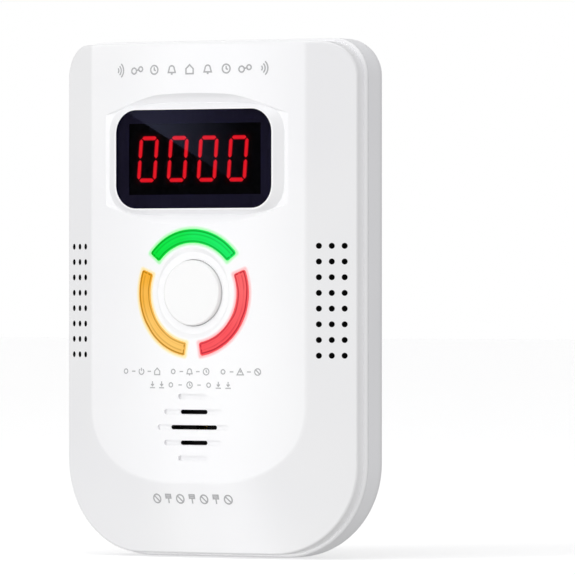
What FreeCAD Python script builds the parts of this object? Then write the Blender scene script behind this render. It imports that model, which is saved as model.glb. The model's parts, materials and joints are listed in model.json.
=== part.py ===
import FreeCAD, Part
import math
import os
from FreeCAD import Vector

# Plug-in carbon monoxide alarm, in millimetres.
# The front faces -Y and +Z is up. The origin is the centre of the plug's seating face.
# Places on the body are given as x, depth behind the crown's foremost line, and
# height above the middle of the body.

# Housing, overall
body_width = 79.5
body_height = 120.0
body_depth = 23.0
top_corner_radius = 8.6
bottom_corner_radius = 21.9
face_inset = 0.85
wall = 2.0

# Crowned front with a raised tongue, sloping wings and a sloping chin
crown_radius = 178.0
wing_width = 13.9
wing_drop = 8.5
chin_height = 16.7
chin_drop = 5.0
tongue_corner_radius = 21.5
tongue_corner_growth = 1.62
crease_radius = 2.0
face_edge_radius = 0.6

# Joint between the two covers
brim_front = 11.3
brim_back = 12.1
brim_edge_radius = 0.6
parting_gap = 0.12
lip_clearance = 0.15
lip_thickness = 1.2
lip_reach = 1.3
lip_root = 1.5
back_edge_radius = 6.0

# Flat eye-shaped pocket round the display
pocket_floor = 1.7
pocket_top = 45.4
pocket_bottom = 19.2
pocket_flat_half_width = 11.0
pocket_side_half_width = 30.0
pocket_top_fall = 3.8
pocket_bottom_rise = 3.4
pocket_wall_run = 2.1
pocket_blend_radius = 25.0
pocket_pad_back = 3.6
pocket_pad_margin = 2.2

# Display
display_height = 32.3
window_width = 41.6
window_tall = 22.7
window_corner_radius = 5.3
window_front = 0.3
window_thickness = 0.6
window_clearance = 0.1
lip_frame_width = 0.5
lip_slope_sideways = 2.4
lip_slope_upwards = 1.1
lip_frame_front = 0.3
lip_frame_edge_radius = 0.3
lip_sink = 0.1
mask_thickness = 0.1
mask_margin_x = 3.1
mask_margin_z = 3.1
display_width = 37.4
display_tall = 18.8
display_face = 1.15
display_opening_gap = 0.3
digit_count = 4
digit_pitch = 8.05
digit_tall = 10.8
digit_wide = 5.3
digit_slant_degrees = 4.5
digit_sideways = -0.6
segment_width = 1.05
segment_gap = 0.2
segment_depth = 0.8
segment_proud = 0.1
pin_columns = 6
pin_pitch = 5.08
pin_half_side = 0.25
pin_hole_radius = 0.45
pin_row_from_edge = 0.6
pin_tail = 1.4

# Status ring and its lamps
ring_height = 1.3
ring_outer_radius = 14.7
ring_inner_radius = 11.65
ring_span_degrees = 103.0
green_angle = 90.0
amber_angle = 210.0
red_angle = 330.0
ring_corner_radius = 0.6
pipe_clearance = 0.08
pipe_proud = 0.15
pipe_back = 6.4
pipe_flange_width = 0.9
pipe_flange_front = 3.3
pipe_flange_back = 4.4
baffle_inner_radius = 10.0
baffle_outer_radius = 16.6
baffle_wall = 0.8
baffle_span_degrees = 109.0
lamp_radius_on_board = 13.2
lamp_step_degrees = 32.0
lamp_size = 2.8
lamp_thickness = 1.9

# Test button and its switch
button_radius = 7.6
button_proud = 0.6
button_edge_radius = 0.45
button_clearance = 0.15
button_roof = 1.5
button_skirt = 1.2
button_flange_overhang = 1.4
button_seat_overhang = 1.9
button_seat_below_wall = 0.4
button_flange_thickness = 1.2
button_seat_gap = 0.05
button_travel = 0.8
stem_radius = 1.8
dish_flat_width = 1.9
dish_slope_width = 1.0
dish_depth = 0.35
spring_inside_skirt = 1.2
spring_wire_radius = 0.3
spring_turns = 5.0
spring_end_gap = 0.05
switch_side = 6.0
switch_thickness = 3.5
plunger_radius = 1.7
plunger_reach = 1.5
plunger_running_gap = 0.05
plunger_stem_gap = 0.02
plunger_in_body = 1.4

# Side vents
vent_rows = 8
vent_columns = 3
vent_row_pitch = 3.6
vent_column_pitch = 2.525
vent_edge_inset = 2.45
vent_radius = 0.66
vent_middle_height = -0.5
screen_gap = 0.1
screen_thickness = 0.3
screen_margin = 2.0
screen_side_gap = 0.2

# Sounder and its grille
sounder_height = -29.8
grille_pitch = 3.57
grille_recess_half_tall = 0.62
grille_recess_depth = 0.7
grille_slot_half_tall = 0.5
grille_recess_lengths = [7.8, 15.5, 19.1, 15.5, 7.8]
grille_slot_lengths = [0.0, 7.2, 12.3, 7.2, 0.0]
sounder_radius = 11.8
sounder_wall = 1.0
sounder_front = 4.2
sounder_lid_thickness = 1.2
sounder_port_radius = 1.5
sounder_ledge = 1.4
piezo_plane = 7.5
piezo_disc_thickness = 0.25
piezo_disc_radius = 10.4
piezo_ceramic_radius = 7.0
piezo_ceramic_thickness = 0.2
gasket_inner_radius = 10.2
gasket_outer_radius = 11.6
gasket_front = 2.9
gasket_seat_below_wall = 0.4

# Main board
board_front = 10.6
board_thickness = 1.6
board_gap = 0.8
board_end_gap = 1.0
board_bottom_corner_radius = 22.0
board_top_corner_radius = 2.0
standoff_radius = 2.4
board_screw_radius = 1.0
board_screw_head_radius = 2.0
board_screw_head_thickness = 1.1
board_screw_length = 6.0
board_screw_side_inset = 3.2
board_screw_top_inset = 3.4
board_screw_bottom_x = 12.0
board_screw_bottom_inset = 3.2
screw_clearance = 0.03
board_hole_clearance = 0.2

# Case screws
boss_radius = 3.0
boss_lip_gap = 0.4
case_screw_radius = 1.4
case_screw_head_radius = 2.7
case_screw_head_thickness = 1.9
case_screw_seat = 18.5
case_screw_tip = 7.8
tip_room = 0.5
head_edge_share = 0.33
cross_length_ratio = 1.2
case_hole_clearance = 0.25
column_radius = 4.0
cross_width = 0.7
cross_depth = 0.9

# Carbon monoxide sensor
sensor_x = -13.0
sensor_height = -33.0
sensor_can_radius = 6.8
sensor_cap_clearance = 0.4
sensor_stand = 0.3
sensor_cap_wall = 0.6
sensor_cap_overlap = 1.2
sensor_cap_roof = 0.7
sensor_filter_thickness = 1.0
sensor_port_radius = 1.1
sensor_fit = 0.03

# Power parts and logic parts on the back of the board
solder_gap = 0.05
tall_part_clearance = 0.25
transformer_x = 12.0
transformer_height = -3.0
transformer_wide = 13.0
transformer_tall = 12.6
core_leg = 2.6
centre_limb_ratio = 1.4
core_thick = 5.6
winding_clearance = 0.15
winding_shortfall = 0.1
capacitor_x = -12.0
capacitor_heights = [4.0, -7.0]
capacitor_radius = 4.0
capacitor_edge_radius = 0.5
safety_capacitor_x = 0.0
safety_capacitor_height = 15.0
safety_capacitor_size = [13.0, 5.5]
fuse_x = -17.0
fuse_height = 38.0
fuse_radius = 1.8
fuse_length = 9.0
fuse_cap_length = 1.8
fuse_cap_wall = 0.2
varistor_x = 17.0
varistor_height = 38.0
varistor_radius = 3.6
varistor_thickness = 3.0
varistor_edge_radius = 0.75
rectifier_x = 17.5
rectifier_height = 17.0
rectifier_size = [4.8, 4.0, 2.5]
controller_x = 7.0
controller_height = -30.0
controller_side = 7.0
controller_thickness = 1.4
controller_leads_per_side = 8
controller_lead_pitch = 0.8
controller_lead_width = 0.35
controller_lead_length = 1.0
controller_lead_thickness = 0.2
crystal_x = 17.5
crystal_height = -26.0
crystal_wide = 4.6
crystal_long = 10.8
crystal_thickness = 3.4
chip_count = 8
chip_pitch = 2.8
chip_x = -2.6
chip_height = -15.5
chip_size = [1.25, 2.0, 0.5]

# Plug
plug_above_middle = 33.0
plug_face_proud = 1.5
plug_base_width = 25.0
plug_base_tall = 18.0
plug_base_corner_radius = 3.0
plug_base_clearance = 0.1
plug_base_front = 19.5
plug_flange_width = 1.5
plug_flange_thickness = 1.5
blade_spacing = 12.7
blade_width = 6.35
blade_thickness = 1.5
blade_length = 17.0
blade_hole_radius = 1.6
blade_hole_from_tip = 5.0
blade_tip_chamfer = 0.5
blade_tail_depth = 15.0
blade_slot_clearance = 0.02
contact_thickness = 0.4
contact_foot = 3.0
contact_reach = 18.8

# Blank rating label
label_width = 40.0
label_tall = 24.0
label_corner_radius = 1.2
label_height = -24.0
label_thickness = 0.15
label_recess = 0.25
label_clearance = 0.3

# Cutting shapes run past what they cut; edges are told apart by these small distances
past = 1.0
near_enough = 0.01
outline_tolerance = 0.02
crease_clear_of_edge = 1.0
stadium_fullness = 0.999

# Worked out from the sizes above
face_half_width = body_width / 2 - face_inset
face_half_height = body_height / 2 - face_inset
face_top_radius = top_corner_radius - face_inset
face_bottom_radius = bottom_corner_radius - face_inset
shell_front = brim_back + parting_gap
cavity_back = body_depth - wall
board_back = board_front + board_thickness
tall_part_room = cavity_back - tall_part_clearance - board_back - solder_gap
winding_thick = tall_part_room - winding_shortfall
sensor_cap_back = cavity_back - sensor_cap_clearance
sensor_can_back = sensor_cap_back - sensor_cap_roof - sensor_filter_thickness
boss_inset = wall + lip_clearance + lip_thickness + boss_lip_gap + boss_radius
button_bore_radius = button_radius + button_clearance
button_flange_radius = button_radius + button_flange_overhang
button_seat_radius = button_radius + button_seat_overhang
button_seat_back = wall + button_seat_below_wall
dish_inner_radius = button_radius + dish_flat_width
dish_outer_radius = dish_inner_radius + dish_slope_width
spring_radius = button_radius - button_skirt - spring_inside_skirt
button_flange_front = button_seat_back + button_seat_gap
switch_front = board_front - switch_thickness
plunger_front = switch_front - plunger_reach
window_back = window_front + window_thickness
mask_back = window_back + mask_thickness
origin_depth = body_depth + plug_face_proud


def place(x, depth, height):
    return Vector(x, depth - origin_depth, height - plug_above_middle)


def block(x, depth, height):
    # A box between two limits along each direction.
    corner = place(x[0], depth[0], height[0])
    return Part.makeBox(x[1] - x[0], depth[1] - depth[0], height[1] - height[0], corner)


def centred_block(x, height, size, front, back):
    return block(
        (x - size[0] / 2, x + size[0] / 2),
        (front, back),
        (height - size[1] / 2, height + size[1] / 2),
    )


def disc(x, height, radius, front, back):
    return Part.makeCylinder(radius, back - front, place(x, front, height), Vector(0, 1, 0))


def ring(x, height, inner, outer, front, back):
    return disc(x, height, outer, front, back).cut(disc(x, height, inner, front, back))


def rounded_wire(corners, depth):
    # Closed outline through (x, height, radius) corners, each rounded by a tangent arc.
    points = [place(x, depth, height) for x, height, radius in corners]
    edges = []
    starts = []
    ends = []
    middles = []
    for index, (x, height, radius) in enumerate(corners):
        here = points[index]
        back = (points[index - 1] - here).normalize()
        ahead = (points[(index + 1) % len(points)] - here).normalize()
        half_angle = back.getAngle(ahead) / 2
        reach = radius / math.tan(half_angle)
        inward = (back + ahead).normalize()
        starts.append(here + back * reach)
        ends.append(here + ahead * reach)
        middles.append(here + inward * (radius / math.sin(half_angle) - radius))
    for index, (x, height, radius) in enumerate(corners):
        if radius > 0:
            edges.append(Part.Arc(starts[index], middles[index], ends[index]).toShape())
        following = starts[(index + 1) % len(points)]
        edges.append(Part.LineSegment(ends[index], following).toShape())
    return Part.Wire(edges)


def rounded_prism(corners, front, back):
    face = Part.Face(rounded_wire(corners, front))
    return face.extrude(Vector(0, back - front, 0))


def rectangle(x, height, width, tall, radius):
    return [
        (x - width / 2, height - tall / 2, radius),
        (x + width / 2, height - tall / 2, radius),
        (x + width / 2, height + tall / 2, radius),
        (x - width / 2, height + tall / 2, radius),
    ]


def face_outline(inset):
    # Outline of the front face, moved inwards by inset.
    half_width = face_half_width - inset
    half_height = face_half_height - inset
    return [
        (-half_width, -half_height, face_bottom_radius - inset),
        (half_width, -half_height, face_bottom_radius - inset),
        (half_width, half_height, face_top_radius - inset),
        (-half_width, half_height, face_top_radius - inset),
    ]


def crown_depth(x):
    return crown_radius - math.sqrt(crown_radius ** 2 - x ** 2)


def crown_solid(set_back):
    base = place(0, crown_radius + set_back, -body_height)
    return Part.makeCylinder(crown_radius, 2 * body_height, base, Vector(0, 0, 1))


def tongue_outline(depth):
    # The tongue widens with depth along the wings' and the chin's slopes.
    half_width = face_half_width - wing_width + depth * wing_width / wing_drop
    bottom = -face_half_height + chin_height - depth * chin_height / chin_drop
    radius = tongue_corner_radius + tongue_corner_growth * depth
    return [
        (-half_width, bottom, radius),
        (half_width, bottom, radius),
        (half_width, body_height, 0),
        (-half_width, body_height, 0),
    ]


def tongue_solid(set_back):
    near = -past
    far = brim_back + past
    wires = [
        rounded_wire(tongue_outline(near), near + set_back),
        rounded_wire(tongue_outline(far), far + set_back),
    ]
    return Part.makeLoft(wires, True, True)


def front_form(inset, set_back, back):
    # Crowned, winged front inside the face outline, as far back as asked.
    prism = rounded_prism(face_outline(inset), -past, back)
    return prism.common(tongue_solid(set_back)).common(crown_solid(set_back))


def depth_of(point):
    return point.y + origin_depth


def edges_where(shape, test):
    chosen = []
    for edge in shape.Edges:
        middle = edge.valueAt((edge.FirstParameter + edge.LastParameter) / 2)
        if test(edge, middle):
            chosen.append(edge)
    return chosen


def inside_face(point, inset):
    width_ok = abs(point.x) < face_half_width - inset
    height_ok = abs(point.z + plug_above_middle) < face_half_height - inset
    return width_ok and height_ok


def is_crease(edge, middle):
    on_crown = abs(depth_of(middle) - crown_depth(middle.x)) < near_enough
    return on_crown and inside_face(middle, crease_clear_of_edge)


def is_face_edge(edge, middle):
    # Edges of the front that are not the straight ones running backwards.
    ends = [depth_of(vertex.Point) for vertex in edge.Vertexes]
    runs_back = max(ends) > brim_back - near_enough
    return not runs_back and not is_inner_edge(edge)


def is_inner_edge(edge):
    first = edge.valueAt(edge.FirstParameter)
    middle = edge.valueAt((edge.FirstParameter + edge.LastParameter) / 2)
    last = edge.valueAt(edge.LastParameter)
    return any(not on_face_wall(point) for point in (first, middle, last))


def on_face_wall(point):
    flat = Part.Vertex(Vector(point.x, 0, point.z))
    wire = Part.Wire(rounded_wire(face_outline(0), origin_depth))
    return wire.distToShape(flat)[0] < outline_tolerance


def pocket_tool():
    def outline(spread):
        side = pocket_side_half_width
        top = pocket_top + spread
        bottom = pocket_bottom - spread
        side_top = top - pocket_top_fall
        side_bottom = bottom + pocket_bottom_rise
        flat = pocket_flat_half_width
        return [
            (-side, side_bottom, 0),
            (-flat, bottom, pocket_blend_radius),
            (flat, bottom, pocket_blend_radius),
            (side, side_bottom, 0),
            (side, side_top, 0),
            (flat, top, pocket_blend_radius),
            (-flat, top, pocket_blend_radius),
            (-side, side_top, 0),
        ]

    over = past
    spread_over = pocket_wall_run * (pocket_floor + over) / pocket_floor
    wires = [
        rounded_wire(outline(spread_over), -over),
        rounded_wire(outline(0), pocket_floor),
    ]
    return Part.makeLoft(wires, True, True)


def window_outline(grow):
    return rectangle(
        0,
        display_height,
        window_width + 2 * grow,
        window_tall + 2 * grow,
        window_corner_radius + grow,
    )


def lip_foot_outline():
    # Where the lip's sloping outside meets the pocket's floor.
    sideways = lip_frame_width + lip_slope_sideways
    upwards = lip_frame_width + lip_slope_upwards
    return rectangle(
        0,
        display_height,
        window_width + 2 * sideways,
        window_tall + 2 * upwards,
        window_corner_radius + upwards,
    )


def ring_sector(inner, outer, angle, span, front, back, corner):
    # Part of a ring round the button, with its four long edges rounded.
    half = math.radians(span / 2)
    middle = math.radians(angle)

    def on_ring(radius, turn):
        x = radius * math.cos(middle + turn)
        return place(x, front, ring_height + radius * math.sin(middle + turn))

    outer_arc = Part.Arc(on_ring(outer, -half), on_ring(outer, 0), on_ring(outer, half))
    inner_arc = Part.Arc(on_ring(inner, half), on_ring(inner, 0), on_ring(inner, -half))
    edges = [
        outer_arc.toShape(),
        Part.LineSegment(on_ring(outer, half), on_ring(inner, half)).toShape(),
        inner_arc.toShape(),
        Part.LineSegment(on_ring(inner, -half), on_ring(outer, -half)).toShape(),
    ]
    solid = Part.Face(Part.Wire(edges)).extrude(Vector(0, back - front, 0))
    if corner > 0:
        long_edges = edges_where(solid, is_along_depth)
        solid = solid.makeFillet(corner, long_edges)
    return solid


def is_along_depth(edge, middle):
    ends = [vertex.Point for vertex in edge.Vertexes]
    if len(ends) < 2:
        return False
    across = Vector(ends[1].x - ends[0].x, 0, ends[1].z - ends[0].z)
    return across.Length < near_enough / 10


def pipe_aperture(angle):
    mean_radius = (ring_inner_radius + ring_outer_radius) / 2
    extra = math.degrees(2 * pipe_clearance / mean_radius)
    return ring_sector(
        ring_inner_radius - pipe_clearance,
        ring_outer_radius + pipe_clearance,
        angle,
        ring_span_degrees + extra,
        -past,
        pipe_flange_front,
        ring_corner_radius + pipe_clearance,
    )


def stadium(height, length, half_tall, front, back):
    # Slot with round ends, lying across the body.
    radius = half_tall * stadium_fullness
    corners = rectangle(0, height, length, 2 * half_tall, radius)
    return rounded_prism(corners, front, back)


def case_screw_places():
    # On the 45 degree lines of the face's corners.
    places = []
    for radius, side in ((face_top_radius, 1), (face_bottom_radius, -1)):
        out = (radius - boss_inset) / math.sqrt(2)
        x = face_half_width - radius + out
        height = side * (face_half_height - radius + out)
        places.append((x, height))
        places.append((-x, height))
    return places


def board_outline():
    top_x = case_screw_places()[0][0]
    half_width = top_x - boss_radius - board_gap
    reach = wall + lip_clearance + lip_thickness + board_end_gap
    top = face_half_height - reach
    bottom = -top
    return [
        (-half_width, bottom, board_bottom_corner_radius),
        (half_width, bottom, board_bottom_corner_radius),
        (half_width, top, board_top_corner_radius),
        (-half_width, top, board_top_corner_radius),
    ]


def board_screw_places():
    outline = board_outline()
    top_x = outline[2][0] - board_screw_side_inset
    top = outline[2][1] - board_screw_top_inset
    bottom = outline[0][1] + board_screw_bottom_inset
    return [
        (top_x, top),
        (-top_x, top),
        (board_screw_bottom_x, bottom),
        (-board_screw_bottom_x, bottom),
    ]


def joined(shapes):
    first = shapes[0]
    return first.multiFuse(shapes[1:]) if len(shapes) > 1 else first


def without(shape, tools):
    return shape.cut(Part.makeCompound(tools)) if tools else shape


def vent_places():
    places = []
    for side in (-1, 1):
        for column in range(vent_columns):
            x = side * (face_half_width - vent_edge_inset - column * vent_column_pitch)
            for row in range(vent_rows):
                offset = (row - (vent_rows - 1) / 2) * vent_row_pitch
                places.append((x, vent_middle_height + offset))
    return places


def vent_hole(x, height):
    # Square to the wing that it goes through.
    slope = math.atan2(wing_drop, wing_width)
    side = math.copysign(1, x)
    inward = Vector(-side * math.sin(slope), math.cos(slope), 0)
    on_wing = place(x, (abs(x) - face_half_width) * math.tan(slope) + wing_drop, height)
    return Part.makeCylinder(vent_radius, wall + 2 * past, on_wing - inward * past, inward)


def grille_rows():
    rows = []
    count = len(grille_recess_lengths)
    for row in range(count):
        height = sounder_height + ((count - 1) / 2 - row) * grille_pitch
        rows.append((height, grille_recess_lengths[row], grille_slot_lengths[row]))
    return rows


def front_cover():
    outer = front_form(0, 0, brim_back)
    outer = outer.removeSplitter()
    outer = outer.makeFillet(crease_radius, edges_where(outer, is_crease))
    outer = outer.makeFillet(face_edge_radius, edges_where(outer, is_face_edge))

    brim = rounded_prism(face_outline(-face_inset), brim_front, brim_back)
    brim_face = brim_front + near_enough
    front_edges = edges_where(brim, lambda edge, middle: depth_of(middle) < brim_face)
    brim = brim.makeFillet(brim_edge_radius, front_edges)
    body = outer.fuse(brim)

    # Hollow, with pads, seats, bosses and standoffs left on its inside
    cavity = front_form(wall, wall, brim_back + past)
    pad = block(
        (-pocket_side_half_width, pocket_side_half_width),
        (-past, pocket_pad_back),
        (pocket_bottom - pocket_pad_margin, pocket_top + pocket_pad_margin),
    )
    inside = [pad]
    inside.append(disc(0, ring_height, button_seat_radius, -past, button_seat_back))
    inside.append(disc(0, sounder_height, gasket_outer_radius, -past, gasket_front))
    for x, height in case_screw_places():
        inside.append(disc(x, height, boss_radius, -past, brim_back))
    for x, height in board_screw_places():
        inside.append(disc(x, height, standoff_radius, -past, board_front))
    body = body.cut(cavity.cut(joined(inside)))

    # Pocket, window seat and the raised lip round it
    body = body.cut(pocket_tool())
    lip = Part.makeLoft(
        [
            rounded_wire(window_outline(lip_frame_width), lip_frame_front),
            rounded_wire(lip_foot_outline(), pocket_floor + lip_sink),
        ],
        True,
        True,
    )
    lip_top = lip_frame_front + near_enough
    lip_edges = edges_where(lip, lambda edge, middle: depth_of(middle) < lip_top)
    lip = lip.makeFillet(lip_frame_edge_radius, lip_edges)
    body = body.fuse(lip)
    seat = rounded_prism(window_outline(window_clearance), -past, mask_back)
    opening = centred_block(
        0,
        display_height,
        (display_width + 2 * display_opening_gap, display_tall + 2 * display_opening_gap),
        -past,
        board_front,
    )
    body = body.cut(seat.fuse(opening))

    # Shallow dish round the button, the button's bore and the ring's apertures
    dish = Part.makeCone(
        dish_outer_radius + (dish_outer_radius - dish_inner_radius) / dish_depth,
        dish_inner_radius,
        dish_depth + past,
        place(0, -past, ring_height),
        Vector(0, 1, 0),
    )
    cuts = [dish, disc(0, ring_height, button_bore_radius, -past, board_front)]
    for angle in (green_angle, amber_angle, red_angle):
        cuts.append(pipe_aperture(angle))
    body = without(body, cuts)

    # Grille
    cuts = []
    for height, recess, slot in grille_rows():
        cuts.append(stadium(height, recess, grille_recess_half_tall, -past, grille_recess_depth))
        if slot > 0:
            cuts.append(stadium(height, slot, grille_slot_half_tall, -past, sounder_front))
    seat_front = wall + gasket_seat_below_wall
    cuts.append(disc(0, sounder_height, gasket_inner_radius, seat_front, gasket_front + past))
    body = without(body, cuts)

    # Vents and screw holes
    cuts = []
    for x, height in vent_places():
        cuts.append(vent_hole(x, height))
    body = without(body, cuts)
    cuts = []
    for x, height in case_screw_places():
        hole = case_screw_radius + screw_clearance
        cuts.append(disc(x, height, hole, case_screw_tip - tip_room, brim_back + past))
    for x, height in board_screw_places():
        hole = board_screw_radius + screw_clearance
        tip = board_back - board_screw_length - tip_room
        cuts.append(disc(x, height, hole, tip, board_front + past))
    return without(body, cuts)


def rear_cover():
    outline = face_outline(-face_inset)
    outer = rounded_prism(outline, shell_front, body_depth)
    far_back = body_depth - near_enough
    back_edges = edges_where(outer, lambda edge, middle: depth_of(middle) > far_back)
    outer = outer.makeFillet(back_edge_radius, back_edges)
    lip_outline = face_outline(wall + lip_clearance)
    lip = rounded_prism(lip_outline, brim_back - lip_reach, shell_front + lip_root)
    body = outer.fuse(lip)

    mouth = face_outline(wall + lip_clearance + lip_thickness)
    hollow = rounded_prism(mouth, brim_back - lip_reach - past, shell_front + lip_root + past)
    room = rounded_prism(face_outline(wall - face_inset), shell_front + lip_root, cavity_back)
    room_back = cavity_back - near_enough
    room_edges = edges_where(room, lambda edge, middle: depth_of(middle) > room_back)
    room = room.makeFillet(back_edge_radius - wall, room_edges)
    hollow = hollow.fuse(room)
    columns = []
    for x, height in case_screw_places():
        columns.append(disc(x, height, column_radius, shell_front, body_depth))
    body = body.cut(hollow.cut(joined(columns)))

    cuts = []
    for x, height in case_screw_places():
        shank_hole = case_screw_radius + case_hole_clearance
        head_hole = case_screw_head_radius + case_hole_clearance
        cuts.append(disc(x, height, shank_hole, shell_front - past, body_depth))
        cuts.append(disc(x, height, head_hole, case_screw_seat, body_depth + past))
    cuts.append(
        rounded_prism(plug_outline(plug_base_clearance), cavity_back - past, body_depth + past)
    )
    cuts.append(
        rounded_prism(
            rectangle(
                0,
                label_height,
                label_width + label_clearance,
                label_tall + label_clearance,
                label_corner_radius + label_clearance,
            ),
            body_depth - label_recess,
            body_depth + past,
        )
    )
    return without(body, cuts)


def plug_outline(grow):
    return rectangle(
        0,
        plug_above_middle,
        plug_base_width + 2 * grow,
        plug_base_tall + 2 * grow,
        plug_base_corner_radius + grow,
    )


def screw(x, height, radius, head_radius, head_thickness, seat, tip):
    # Pan-head screw driven from the back, with a cross recess.
    back = seat + head_thickness
    solid = disc(x, height, radius, tip, seat).fuse(disc(x, height, head_radius, seat, back))
    rim = edges_where(solid, lambda edge, middle: depth_of(middle) > back - near_enough)
    solid = solid.makeFillet(head_thickness * head_edge_share, rim)
    long_side = head_radius * cross_length_ratio
    for size in ((long_side, cross_width), (cross_width, long_side)):
        solid = solid.cut(centred_block(x, height, size, back - cross_depth, back + past))
    return solid


def segment_shape(start, end, front, back):
    # Bar between two digit corners, with pointed ends, in the digit's own plane.
    along_x = end[0] - start[0]
    along_z = end[1] - start[1]
    length = math.hypot(along_x, along_z)
    ux = along_x / length
    uz = along_z / length
    half = segment_width / 2
    gap = segment_gap
    profile = [
        (gap, 0),
        (gap + half, half),
        (length - gap - half, half),
        (length - gap, 0),
        (length - gap - half, -half),
        (gap + half, -half),
    ]
    lean = math.tan(math.radians(digit_slant_degrees))
    points = []
    for run, side in profile:
        x = start[0] + ux * run - uz * side
        z = start[1] + uz * run + ux * side
        points.append(place(x + lean * z, front, display_height + z))
    points.append(points[0])
    return Part.Face(Part.makePolygon(points)).extrude(Vector(0, back - front, 0))


def digit_bars(middle_ones):
    half_wide = (digit_wide - segment_width) / 2
    half_tall = (digit_tall - segment_width) / 2
    corners = {
        "top left": (-half_wide, half_tall),
        "top right": (half_wide, half_tall),
        "left": (-half_wide, 0),
        "right": (half_wide, 0),
        "bottom left": (-half_wide, -half_tall),
        "bottom right": (half_wide, -half_tall),
    }
    outer_pairs = [
        ("top left", "top right"),
        ("top right", "right"),
        ("right", "bottom right"),
        ("bottom right", "bottom left"),
        ("bottom left", "left"),
        ("left", "top left"),
    ]
    pairs = [("left", "right")] if middle_ones else outer_pairs
    front = display_face - segment_proud
    bars = []
    for digit in range(digit_count):
        shift = digit_sideways + (digit - (digit_count - 1) / 2) * digit_pitch
        for first, second in pairs:
            start = (corners[first][0] + shift, corners[first][1])
            end = (corners[second][0] + shift, corners[second][1])
            bars.append(segment_shape(start, end, front, display_face + segment_depth))
    return bars


def display_body():
    body = centred_block(
        0, display_height, (display_width, display_tall), display_face, board_front
    )
    return without(body, digit_bars(False) + digit_bars(True))


def pin_places():
    places = []
    for side in (-1, 1):
        for column in range(pin_columns):
            x = (column - (pin_columns - 1) / 2) * pin_pitch
            places.append((x, display_height + side * pin_row_offset()))
    return places


def pin_row_offset():
    return display_tall / 2 - 2 * pin_hole_radius - pin_row_from_edge


def light_pipe(angle):
    bar = ring_sector(
        ring_inner_radius,
        ring_outer_radius,
        angle,
        ring_span_degrees,
        -past,
        pipe_back,
        ring_corner_radius,
    )
    bar = bar.common(crown_solid(-pipe_proud))
    mean_radius = (ring_inner_radius + ring_outer_radius) / 2
    extra = math.degrees(pipe_flange_width / mean_radius)
    flange = ring_sector(
        ring_inner_radius - pipe_flange_width,
        ring_outer_radius + pipe_flange_width,
        angle,
        ring_span_degrees + extra,
        pipe_flange_front,
        pipe_flange_back,
        ring_corner_radius,
    )
    return bar.fuse(flange).removeSplitter()


def light_baffle():
    body = ring(
        0, ring_height, baffle_inner_radius, baffle_outer_radius, pipe_flange_back, board_front
    )
    chambers = []
    for angle in (green_angle, amber_angle, red_angle):
        chambers.append(
            ring_sector(
                baffle_inner_radius + baffle_wall,
                baffle_outer_radius - baffle_wall,
                angle,
                baffle_span_degrees,
                pipe_flange_back - past,
                board_front + past,
                0,
            )
        )
    return without(body, chambers)


def lamps(angle):
    solids = []
    for step in (-1, 0, 1):
        turn = math.radians(angle + step * lamp_step_degrees)
        x = lamp_radius_on_board * math.cos(turn)
        height = ring_height + lamp_radius_on_board * math.sin(turn)
        solids.append(
            centred_block(
                x, height, (lamp_size, lamp_size), board_front - lamp_thickness, board_front
            )
        )
    return Part.makeCompound(solids)


def test_button():
    front = -button_proud
    roof_back = front + button_roof
    flange_back = button_flange_front + button_flange_thickness
    cap = disc(0, ring_height, button_radius, front, flange_back)
    front_edges = edges_where(cap, lambda edge, middle: depth_of(middle) < front + near_enough)
    cap = cap.makeFillet(button_edge_radius, front_edges)
    flange = disc(0, ring_height, button_flange_radius, button_flange_front, flange_back)
    cap = cap.fuse(flange)
    hollow = ring(
        0,
        ring_height,
        stem_radius,
        button_radius - button_skirt,
        roof_back,
        flange_back + past,
    )
    stem = disc(0, ring_height, stem_radius, roof_back, plunger_front - plunger_stem_gap)
    return cap.cut(hollow).fuse(stem).removeSplitter()


def button_spring():
    front = -button_proud + button_roof + spring_end_gap + spring_wire_radius
    back = board_front - spring_end_gap - spring_wire_radius
    length = back - front
    helix = Part.makeHelix(length / spring_turns, length, spring_radius)
    section = Part.makeCircle(
        spring_wire_radius, Vector(spring_radius, 0, 0), Vector(0, 1, 0)
    )
    coil = Part.Wire(helix.Edges).makePipeShell([Part.Wire(section)], True, True)
    coil.rotate(Vector(0, 0, 0), Vector(1, 0, 0), -90)
    coil.translate(place(0, front, ring_height))
    return Part.Solid(coil) if coil.ShapeType == "Shell" else coil


def switch_body():
    body = centred_block(0, ring_height, (switch_side, switch_side), switch_front, board_front)
    bore_back = switch_front + plunger_in_body + button_travel + plunger_running_gap
    bore = disc(
        0, ring_height, plunger_radius + plunger_running_gap, switch_front - past, bore_back
    )
    return body.cut(bore)


def switch_plunger():
    return disc(
        0, ring_height, plunger_radius, plunger_front, switch_front + plunger_in_body
    )


def main_board():
    board = rounded_prism(board_outline(), board_front, board_back)
    cuts = []
    for x, height in board_screw_places():
        hole = board_screw_radius + board_hole_clearance
        cuts.append(disc(x, height, hole, board_front - past, board_back + past))
    for x, height in pin_places():
        cuts.append(disc(x, height, pin_hole_radius, board_front - past, board_back + past))
    return without(board, cuts)


def sounder_cup():
    lid_back = sounder_front + sounder_lid_thickness
    body = disc(0, sounder_height, sounder_radius, lid_back, board_front)
    inner = sounder_radius - sounder_wall
    back = board_front - sounder_wall
    room = disc(0, sounder_height, inner, lid_back - past, piezo_plane)
    chamber = disc(0, sounder_height, inner - sounder_ledge, lid_back - past, back)
    return body.cut(room.fuse(chamber))


def sounder_lid():
    lid_back = sounder_front + sounder_lid_thickness
    return ring(0, sounder_height, sounder_port_radius, sounder_radius, sounder_front, lid_back)


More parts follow.
